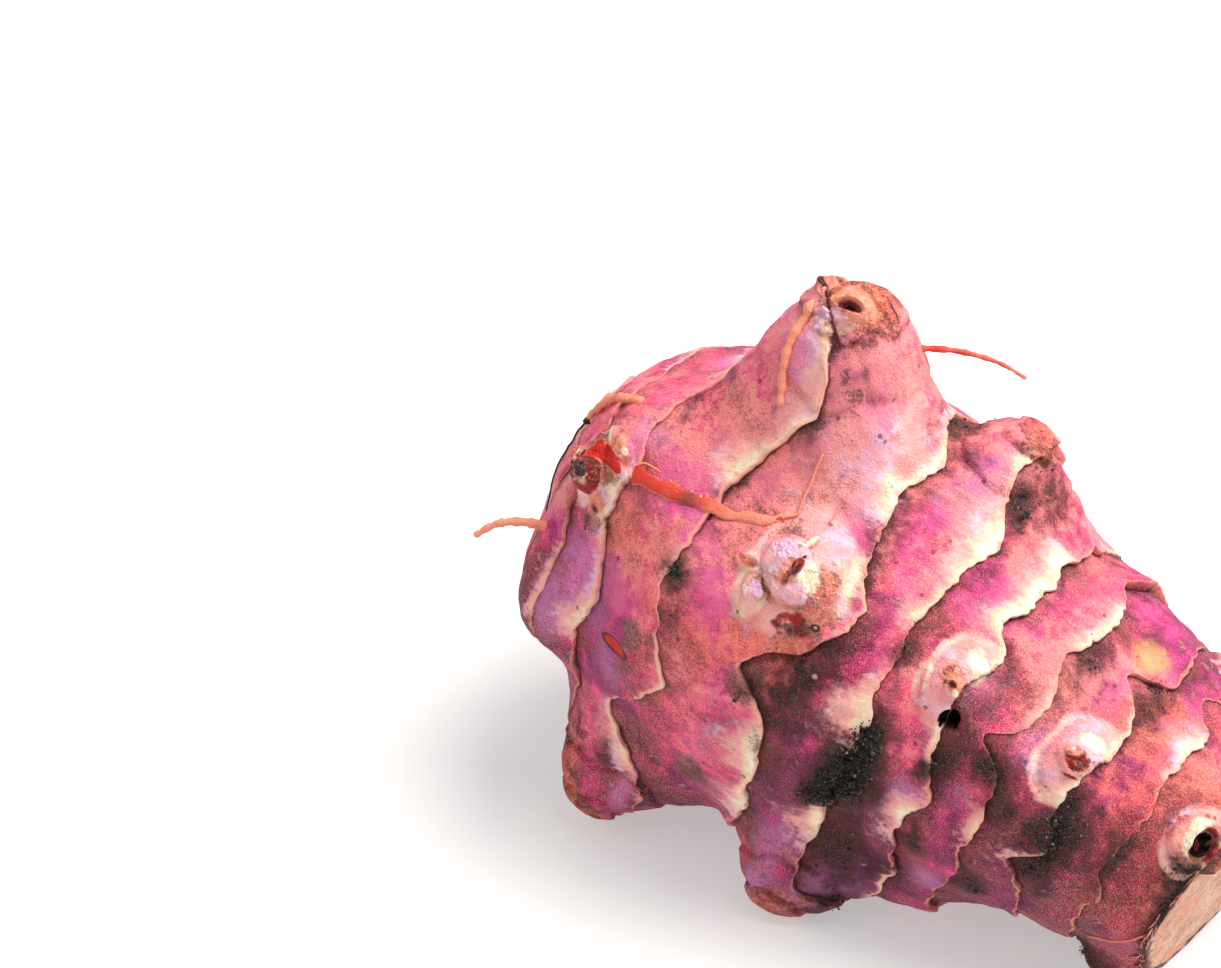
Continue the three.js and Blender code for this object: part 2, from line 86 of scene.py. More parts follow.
Knob = namedtuple("Knob", "skin angle height spread power lean slide", defaults=(0.0, 0.0))
KNOBS = {
    "crown": Knob(43.4, 0, 16.2, 9.1, 3.0),
    "shoulder": Knob(24, 30, 3.4, 10, 2.2),
    "cheek": Knob(22, 98, 4.5, 7, 2.2),
    "near foot": Knob(38, 140, 11, 8, 2.6, -4, 2),
    "middle foot": Knob(59.2, 138, 9.8, 7.2, 2.6),
    "belly": Knob(73, 143, 3.4, 6, 2.4),
    "heel": Knob(93.2, 150, 3.4, 3.2, 2.4),
    "rim swell": Knob(98, 150, 0.5, 5, 2),
    "back shoulder": Knob(60, -15, 8, 7.5, 2),
    "back lump": Knob(76, -30, 2, 4, 2),
    "far foot": Knob(47, -150, 6.9, 7.5, 2.6),
    "far side": Knob(66, -98, 6, 6.5, 2.4),
    "far cheek": Knob(27, -80, 3, 8, 2.2),
}
KNOB_RINGS = (0.86, 0.48)
RINGED_KNOB = 5.0
KNOB_RING_DEPTH = 0.5
KNOB_RING_REACH = 0.16

# Ridges: where a scale's edge lies, the step behind it, and where the edge swings along the
# tuber (angle, reach in mm, spread in degrees). Pale names the stretches where the edge is
# thin and bleached (angle, spread in degrees, reach in mm, amount).
Ridge = namedtuple("Ridge", "skin depth swings pale")
RIDGES = (
    Ridge(8.5, 0.6, ((110, 1.2, 30), (300, -1.0, 35)),
          ((60, 30, 2, 0.6), (200, 30, 2.5, 0.8), (320, 25, 2, 0.6))),
    Ridge(16, 0.8, ((85, 1.5, 22), (190, -1.5, 25), (290, 1.5, 25)),
          ((110, 16, 3, 0.8), (250, 20, 3, 0.9), (330, 16, 3, 0.8), (30, 14, 2, 0.4))),
    Ridge(24, 0.7, ((50, -1.5, 14), (200, 2, 30)),
          ((-13, 12, 3, 0.5), (84, 14, 3, 0.5), (230, 20, 3, 0.5))),
    Ridge(31, 1.1, ((44, 1, 10), (5, 1.5, 15), (160, -1.5, 20), (260, 2, 25)),
          ((52, 8, 6, 0.9), (86, 7, 5, 0.8), (-6, 14, 5, 1.0), (72, 8, 2, 0.4), (240, 18, 3, 0.7),
           (300, 16, 3, 0.7))),
    Ridge(41, 1.2, ((18, 3, 9), (45, -1, 18), (86, 1.5, 10), (108, -4, 9), (132, 2, 10),
                    (225, -2, 18), (290, 2.5, 20)),
          ((27, 9, 4.5, 0.8), (86, 10, 3.5, 0.8), (115, 9, 4, 0.7), (60, 8, 1.5, 0.4),
           (10, 5, 4, 0.7), (205, 14, 3, 0.6), (250, 12, 4, 0.8), (320, 14, 3, 0.7))),
    Ridge(53, 1.7, ((4, 1.5, 6), (44, 4.5, 13), (70, -4, 7), (95, 1.5, 10), (137, -3, 12),
                    (190, 2.5, 18), (228, 4, 12), (320, -2, 14)),
          ((3, 7, 6, 1.0), (16, 5, 4, 0.9), (42, 12, 3, 0.6), (93, 12, 4.5, 0.95), (115, 8, 5, 0.8),
           (-14, 5, 4, 0.6), (200, 12, 3, 0.7), (240, 12, 4, 0.8), (300, 16, 3, 0.6))),
    Ridge(62, 1.8, ((-2, -2, 6), (10, 1.5, 7), (140, 3, 12), (215, -1.5, 14), (300, 2, 18)),
          ((9, 5, 7, 1.2), (-6, 5, 4, 0.8), (20, 5, 3, 0.7), (33, 7, 4.5, 0.85), (66, 9, 6, 0.9),
           (109, 7, 5, 0.9), (190, 14, 4, 0.7), (260, 16, 4, 0.8), (315, 12, 3, 0.7))),
    Ridge(69.5, 1.7, ((24, -2, 6), (47, -0.9, 7), (82, 1.5, 7), (180, -1.5, 15), (230, 2.5, 12),
                      (285, -1.5, 12)),
          ((-2, 5, 5, 1.0), (10, 6, 4, 0.8), (25, 9, 4.5, 1.0), (60, 6, 4, 0.95), (91, 8, 5, 0.9),
           (127, 8, 3, 0.8), (210, 12, 4, 0.8), (250, 12, 3, 0.7), (320, 12, 3, 0.7))),
    Ridge(76, 1.6, ((22, -2, 6), (54, -3, 6), (81, 1, 8), (-18, -2, 8), (160, 1.5, 12),
                    (250, -2, 15)),
          ((-4, 6, 4, 0.9), (10, 6, 3.5, 0.9), (36, 7, 4, 0.7), (81, 6, 4, 0.8), (190, 12, 3, 0.7),
           (235, 14, 4, 0.8), (290, 14, 3, 0.7))),
    Ridge(82.5, 1.5, ((-2, 1.5, 6), (10, -2.5, 5), (44, -0.6, 7), (86, -1.5, 5), (200, 1.5, 15),
                      (226, 2, 10)),
          ((26, 7, 4, 0.95), (52, 6, 4, 0.8), (80, 6, 3, 0.5), (215, 12, 4, 0.8),
           (280, 16, 3, 0.7))),
    Ridge(88.5, 1.2, ((-6, -1.5, 6), (84, 1.5, 6), (180, -1.5, 20), (280, 1, 20)),
          ((12, 8, 4, 0.9), (28, 5, 2, 0.5), (210, 16, 3, 0.6), (300, 14, 3, 0.7))),
)
RIDGE_SEED = -2

# How the edges are torn: weight, size in mm and seed of each noise, and their middle value.
TEARS = ((1.5, 6.0, 60), (1.0, 2.7, 1), (0.6, 1.2, 20), (0.35, 0.5, 40))
TEAR_MIDDLE = 1.72

# Fine lumps on the skin: height and size in mm, and seed.
LUMPS = ((0.5, 5.0, 3), (0.28, 1.7, 5), (0.14, 0.8, 6))

# Scales: how they rise to their lips, and how far lips, grooves and the cut's rim reach, in mm.
LIP_SHARE = 0.1
CLIMB_POWER = 1.2
SWELL = 0.22
STEP_SHARE = 0.46
LIP_FLARE = 0.35
LIP_REACH = 1.2
GROOVE_REACH = 2.6
RIM_REACH = 0.9

# Relief grows from nothing at the bud end over this far along the skin.
FADE_IN = 8

# Eyes: a low mound inside a creased ring, with a bud or a pit in the middle.
Eye = namedtuple("Eye", "skin angle size mound bud", defaults=(0.0,))
EYES = (
    Eye(50, 44, 6.2, 1.8, 1.5), Eye(68, 45, 4.4, 1.2, 0.9), Eye(69.6, 54.5, 1.5, -0.9),
    Eye(81, 44, 4.2, 1.2, 1.2), Eye(93.8, 43, 3.4, 0.2, 0.7), Eye(24.6, 47, 3.6, 1.2, 1.4),
    Eye(47, 53, 2.2, 0.6, 1), Eye(36.5, 87, 1.5, -0.3), Eye(43.2, 4.5, 2.8, 0.3, 0.8),
    Eye(50, 226, 5, 1.4, 1.3), Eye(68, 228, 4.2, 1.2, 1), Eye(81, 224, 3.8, 1.1, 1),
    Eye(36, 318, 4.2, 1.3, 1.1), Eye(86, 315, 3.4, 1, 0.9), Eye(34, 185, 3.8, 1, 1),
    Eye(13.5, 150, 3.4, 0.8, 0.9), Eye(15, 285, 3.8, 1, 1),
)
MOUND_SPREAD = 0.7
RING_DEPTH = 0.35
RING_WIDTH = 0.16
BED_ALONG = 0.85
BED_AROUND = 1.25

# Marks on the skin: where, half length along and round in mm, and how strong.
Mark = namedtuple("Mark", "skin angle along round amount")
MARKS = {
    "faded": (
        (49.5, 22, 3.5, 4.5, 0.75), (44.5, 28, 3.5, 4, 0.55), (42.8, 45, 3, 3.5, 0.45),
        (46.5, 15, 3, 3, 0.35), (36.2, 114, 2.5, 3.5, 0.4), (33, 30, 3, 3, 0.3),
    ),
    # Painted shadow: the darkest places low under the scales and in deep grooves, where shade falls.
    "gloom": (
        (66.2, 123, 1.6, 4, 1.1), (65.2, 114, 1.5, 3.5, 1), (64.6, 102, 1.5, 4, 1),
        (66.3, 88, 1.6, 3, 0.9), (71.6, 98, 1, 3, 0.8), (69.8, 119, 1.6, 3, 0.9),
        (84.5, 94, 1.5, 3, 0.8), (77.4, 106, 1.2, 4, 0.5), (57, 62.5, 1.3, 3, 1),
        (53.7, 73, 1.6, 3.5, 0.9), (55.2, 67, 1.2, 2.5, 0.6), (56, 95, 1.6, 3.5, 0.6),
        (81.3, 67, 1.8, 3.5, 0.4), (69, 72.5, 0.9, 2.5, 0.8), (63.4, 67, 1, 2.6, 0.8),
        (21, 84, 2.5, 4, 0.5), (67.8, 123, 1, 3, 0.6),
    ),
    "soil": (
        (63, 86, 3, 4, 1.3), (60.5, 99, 2, 2.5, 1.4), (64, 73, 2.2, 3.5, 1), (63.5, 116, 2, 3, 1),
        (55, 76, 3.5, 5, 0.75), (55.5, 64, 2, 4, 0.8), (50.5, 76, 1.6, 2, 0.9),
        (62.5, 46, 1.5, 1.8, 1.1), (53.5, 20, 1.4, 3.5, 0.55), (55, 32, 1.8, 5, 0.8),
        (53.5, -12, 3, 4, 0.9), (63, 0, 1.4, 1.6, 1.2), (65.5, -10, 3, 5, 0.7),
        (76.5, 14, 2.2, 3.5, 0.9), (83, 10, 2, 4, 0.9), (77, 66, 2.5, 3.5, 0.9),
        (83.5, 68, 3.5, 5, 0.95), (83, 87, 1.8, 2.2, 1.1), (78, 109, 2.2, 3, 1.1),
        (89, 68, 2, 4, 0.9), (95.5, 62, 1.4, 4, 0.8), (95.6, 47, 1.6, 3, 1.2),
        (40.3, 58, 1.6, 1.4, 1.5), (41.5, 68, 1.4, 4, 0.6), (44.5, 21, 1, 1.4, 0.7),
        (41, 29, 0.7, 2.2, 0.8), (40.2, 36, 0.6, 1.6, 0.7), (48, 51, 0.8, 1, 1),
        (38.5, 119, 1.2, 2, 0.8), (47, 114, 1.8, 2.4, 0.6), (70.8, 66, 1.6, 2.4, 1),
        (38, 92, 1.6, 2, 0.6), (33, 20, 1, 2.4, 0.7), (91.5, 142, 2.5, 3, 1.1),
        (64, 140, 2.5, 4, 0.9), (45.5, 10.5, 3, 0.35, 0.6), (43.7, 14.5, 0.5, 1.2, 0.8),
        (62, 92, 1.8, 3.4, 1.4), (63, 80, 2, 3, 1.2), (82.5, 68, 2, 4, 0.9), (94, 55, 1.4, 3, 1),
        (74, 60, 1.6, 2.4, 0.8), (71.5, 98, 1.6, 3, 0.9), (96, 88, 1.2, 4, 0.7), (18, 58, 2, 2, 0.8),
        (63.2, 71, 1.6, 3, 1), (64.4, 90, 1.8, 3, 1), (69.6, 73, 0.9, 2.4, 1),
        (65.8, 120, 1.2, 3, 0.6), (70, 122, 1.2, 2, 0.6), (54, 210, 3, 5, 1), (63, 230, 2.5, 5, 0.9),
        (42, 250, 2, 5, 0.9), (77, 210, 2.5, 4, 1), (33, 290, 2, 4, 0.8), (63, 280, 2.5, 5, 0.9),
        (84, 270, 2, 4, 0.9), (54, 320, 2, 4, 0.9), (70, 180, 3, 5, 0.9),
    ),
    "cork": (
        (29, 58, 2.4, 3, 0.7), (28, 44, 3, 2.4, 0.9), (24, 40, 2, 3, 0.7), (53, 59, 2.6, 3.6, 1),
        (48, 50, 1.8, 1.4, 0.8), (52.5, 47, 2.5, 2, 0.9), (47, 36, 3.5, 3, 0.6),
        (35, 17, 2, 2.6, 0.4), (47.5, 16, 3.5, 3, 0.15), (61.5, -12, 2, 2.4, 0.7),
        (94, 76, 2.2, 3.6, 0.7), (53.3, 41.2, 0.9, 1.3, 0.8), (54.2, 50, 1.6, 2.2, 0.5),
        (46.5, 14, 1.6, 1.2, 0.4), (78, -4, 1.5, 3, 0.4), (39.5, 80, 1.4, 1.8, 0.5),
        (75, 60, 2, 2.5, 0.5), (85, 60, 3, 4, 0.4), (50, 226, 2.6, 3, 0.8), (30, 250, 3, 3, 0.6),
        (73, 200, 2, 3, 0.6), (88, 240, 2.5, 3, 0.6), (38, 146, 4.5, 4.5, 0.55),
        (33.5, 131, 2.5, 4.5, 0.9), (38, 137, 3, 2.5, 0.7), (59.5, 146, 4.5, 4.5, 0.6),
        (61, 136, 3.5, 3, 0.7), (93, 152, 3, 4, 0.6), (94.5, 50, 1.6, 5, 0.5),
        (35.5, 128, 3.5, 4, 0.45), (60.5, 128, 3, 4, 0.5), (44, 1, 3, 3, 0.6),
    ),
    "lilac": (
        (41.5, 128, 1.2, 4, 0.9), (62, 133, 2, 3, 0.8), (57, 133, 1.2, 3, 0.8), (30, 78, 5, 7, 0.9),
        (26, 84, 3, 5, 0.8), (25, 38, 3, 3, 0.7), (31, 31, 3, 3, 0.8), (43, 13, 3, 3, 0.9),
        (59, 3, 4, 4, 0.8), (47, 52, 1.6, 1.4, 1.2), (69, 84, 2.4, 4, 1), (70, 40, 3, 3, 0.7),
        (58, 121, 3.5, 5, 0.8), (66, 127, 3, 4, 0.9), (77, 46, 2.5, 3.5, 0.9),
        (74, 114, 2.5, 4, 0.8), (74, 74, 2, 3, 0.6), (37, 95, 3, 4, 0.7), (47, 100, 3, 5, 0.6),
        (54, 48, 1.8, 3, 0.8), (30, -10, 3, 5, 0.9), (60, 210, 4, 5, 0.7), (40, 240, 4, 5, 0.7),
        (70, 270, 4, 5, 0.7), (80, 200, 3, 5, 0.7), (30, 200, 4, 6, 0.7),
    ),
    "warm": (
        (42, 0, 9, 9, 0.35), (33, 28, 8, 9, 0.24), (46, 28, 8, 9, 0.34), (47, 48, 7, 8, 0.2),
        (42, 58, 5, 6, 0.1), (36, 50, 6, 6, 0.08), (53, 3, 5, 7, 0.2), (68, -2, 6, 6, 0.15),
        (78, 22, 5, 6, 0.2), (88, 25, 8, 6, 0.2), (34, 121, 3, 4, 0.6), (47, 105, 3.5, 3.5, 0.3),
        (52, 130, 3.5, 4, 0.35), (35, 230, 8, 10, 0.2), (58, 120, 3, 4, 0.35),
        (44, 121, 2.5, 3, 0.25), (39, 69, 3, 4, 0.2), (90, 14, 2, 4, 0.3), (46.2, 20, 4, 6, 0.4),
        (43, 44, 3, 4, 0.3), (61.5, -3, 3, 3, 0.3), (36, 112, 3, 4, 0.35), (43.5, 119, 3, 4, 0.3),
        (79, 27, 4, 6, 0.3), (87, 4, 3, 4, 0.4),
    ),
    "deep": (
        (25, 90, 4, 7, 0.45), (58, 56, 2.5, 4, 0.5), (57, 96, 4, 8, 0.4), (64.5, 108, 3.5, 8, 0.7),
        (60, 72, 3, 5, 0.35), (35, 93, 4, 5, 0.15), (44, 122, 3, 6, 0.15), (33, 130, 5, 5, 0.3),
        (70.5, 56, 2.5, 4, 0.3), (72, 75, 3, 7, 0.25), (80, 82, 4, 7, 0.35), (85, 66, 3, 5, 0.3),
        (89, 56, 2.5, 4, 0.3), (63, 10, 3, 5, 0.15), (58, 128, 4, 5, 0.3), (24, 88, 3, 6, 0.3),
        (67.5, 84, 2.5, 4, 0.35), (70, -4, 4, 5, 0.2), (88, 2, 2, 3, 0.2), (39, 90, 4, 8, 0.2),
        (42, 108, 4, 6, 0.15), (24, 82, 3, 6, 0.4), (33.5, 9, 4, 4, 0.3), (49.5, 3, 3, 3, 0.3),
        (83.5, -20, 4, 5, 0.4), (60.5, 69, 3, 3, 0.3), (68, 78, 3, 4, 0.2), (86, 38, 3, 3, 0.2),
        (64.5, 112, 3, 5, 0.3), (90, 100, 5, 8, 0.2), (70, 210, 8, 10, 0.25), (50, 190, 6, 10, 0.2),
    ),
    "red": (
        (88, 38, 5, 5, 0.8), (90, 55, 5, 6, 1), (84, 24, 4, 5, 0.6), (93, 72, 4, 6, 1.2),
        (94, 52, 4, 8, 0.8), (88, 2, 4, 6, 0.6), (44, 46, 6, 8, 0.3), (50, 64, 4, 6, 0.5),
        (30, 40, 6, 4, 0.6), (33, 54, 5, 5, 0.5), (40, 78, 5, 4, 0.5), (46, 66, 4, 4, 0.6),
        (70, 0, 5, 4, 0.4), (86, 230, 6, 8, 0.7), (40, 300, 6, 8, 0.5),
    ),
    "violet": (
        (40, 44, 4, 4, 0.5), (45, 60, 3, 4, 0.5), (50, 20, 3, 5, 0.5), (34, 44, 3, 4, 0.5),
        (34, 76, 4, 4, 0.8), (26, 74, 4, 5, 0.9), (35, 100, 4, 6, 0.6), (48, 125, 4, 6, 0.7),
        (58, 108, 5, 8, 0.9), (67, 118, 5, 8, 1), (57, 14, 3, 6, 0.7), (63, 24, 3, 5, 0.6),
        (56, 90, 4, 5, 0.7), (75, 104, 5, 8, 0.9), (82, 100, 4, 7, 0.7), (70, 62, 3, 4, 0.6),
        (60, 200, 7, 9, 0.7), (30, 260, 7, 9, 0.6), (35, 92, 4, 5, 0.6), (61, 42, 3, 4, 0.4),
        (68, 18, 3, 4, 0.5), (42, 5, 4, 3, 0.5), (52, 28, 3, 4, 0.4),
    ),
    "amber": (
        (81, -2.5, 1.7, 2.2, 1), (80, 3, 1.2, 2.4, 0.7), (78.6, -1, 1.2, 1.5, 0.5),
    ),
    "scar": (
        (36.4, 87, 2, 0.75, 1.4),
    ),
    "grey": (
        (50.3, 74, 2, 2.4, 1.3), (46.5, 114, 2.2, 2.8, 1.3), (38.5, 79, 1.6, 2.2, 1.2),
        (41, 66, 1.5, 4, 0.4), (64, 98, 2.5, 3, 0.7), (54.5, 86, 2, 3, 0.7),
    ),
}

# Rootlets: thickness at the root and the tip, then steps on the skin (skin, angle, lift) and
# steps in the air past the last one.
Rootlet = namedtuple("Rootlet", "start end steps reach tone flat frayed dries_at",
                     defaults=((), 0.0, 1.0, False, 2.0))
ROOTLETS = (
    Rootlet(1.2, 0.45, ((25.2, 45.6, 1.2), (26.8, 44.2, 1.3), (28.6, 43, 1.2), (30.4, 42.2, 0.6),
                        (35.5, 41.7, 0.15), (40.8, 39.4, 0.15), (44.5, 37, 0.15), (46.4, 36, 0.1)),
            (), 0.0, 0.35, True),
    Rootlet(0.55, 0.4, ((41.6, 1, 0.3), (40.6, 8, 0.3), (40.6, 14, 0.3), (41.6, 20, 0.1)), (), 0.8),
    Rootlet(0.6, 0.35, ((20.5, 70, -0.4),), ((-2.3, -1.7, 0.7), (-4.5, -3.3, 0.4),
                                             (-6.2, -4.7, -1.0)), 0.8),
    Rootlet(0.65, 0.3, ((26.5, 22, -0.2), (23, 24, 0.4), (20, 28, 0.5), (18.5, 33, 0.5)), (), 0.6,
            1.0, False, 0.85),
    Rootlet(0.38, 0.18, ((48, -9, -0.4),), ((3.4, 2.4, -0.3), (6.8, 4.9, -1.7),
                                            (9.2, 6.6, -3.6)), 0.3),
    Rootlet(0.6, 0.35, ((49, 215, -0.2), (46, 222, 0.6), (44, 230, 0.5), (45, 240, 0.1)), (), 0.7),
    Rootlet(0.5, 0.3, ((65, 262, -0.4),), ((1.2, 2.6, -0.6), (2.2, 4.6, -2.2)), 0.6),
    Rootlet(0.7, 0.35, ((30, 205, 0.2), (35, 200, 0.6), (40, 204, 0.4), (44, 203, 0.1)), (), 0.3),
    Rootlet(0.5, 0.3, ((86, 232, -0.3),), ((1.4, 2.0, 0.8), (3.0, 3.4, 0.6)), 0.6),
)
ROOTLET_SIDES = 12
HAIR_SIDES = 6
FIBRE_SIDES = 5

# Hairs: the thin forks and threads that lie on the skin.
HAIRS = (
    Rootlet(0.22, 0.12, ((46.2, 35.5, 0.1), (46.5, 30, 0.3), (46.2, 25.5, 0.35), (46, 22, 0.2)),
            (), 0.75),
    Rootlet(0.2, 0.1, ((49.8, 38, 0.5), (50, 35.5, 0.4), (50, 32, 0.3), (49.8, 28.5, 0.3),
                       (49.8, 25, 0.2)), (), 0.6),
    Rootlet(0.16, 0.12, ((90.5, 118, 0.05), (93.5, 102.5, 0.08), (95.2, 92, 0.08), (96.5, 86, 0.05)),
            (), 0.5),
    Rootlet(0.13, 0.09, ((18.8, 32, 0.4), (17, 40, 0.8), (16, 50, 0.8), (16.5, 60, 0.5),
                         (18.5, 68, 0.1)), (), 0.5, 1.0, False, -1.0),
    Rootlet(0.16, 0.08, ((45.5, 36, 0.2), (47.5, 37, 0.3), (49, 39.5, 0.4)), (), 0.4),
    Rootlet(0.14, 0.08, ((31.5, 40, 0.8), (33, 38.5, 0.7), (34.5, 38.5, 0.5)), (), 0.9),
)

# Seeded marks over the far sides: seed, count, half length along and round, and how strong.
FAR_MARKS = {
    "soil": (3, 16, 2.0, 3.6, 0.9),
    "cork": (7, 9, 2.4, 2.6, 0.7),
    "lilac": (11, 10, 3.5, 4.5, 0.8),
    "deep": (17, 14, 4.0, 7.0, 0.4),
    "warm": (23, 10, 5.0, 7.0, 0.35),
    "red": (29, 9, 4.5, 6.0, 0.7),
    "violet": (31, 12, 4.5, 6.0, 0.9),
    "grey": (37, 8, 1.8, 2.6, 1.1),
}

# Where the seeded marks start and how far they spread, along the skin and round it.
FAR_SKIN = (8, 86)
FAR_ANGLES = (160, 180)

# Marks that colour the skin by themselves; the others shift its tone or fade it.
COLOUR_MARKS = ("gloom", "soil", "cork", "lilac", "red", "violet", "amber", "scar", "grey")

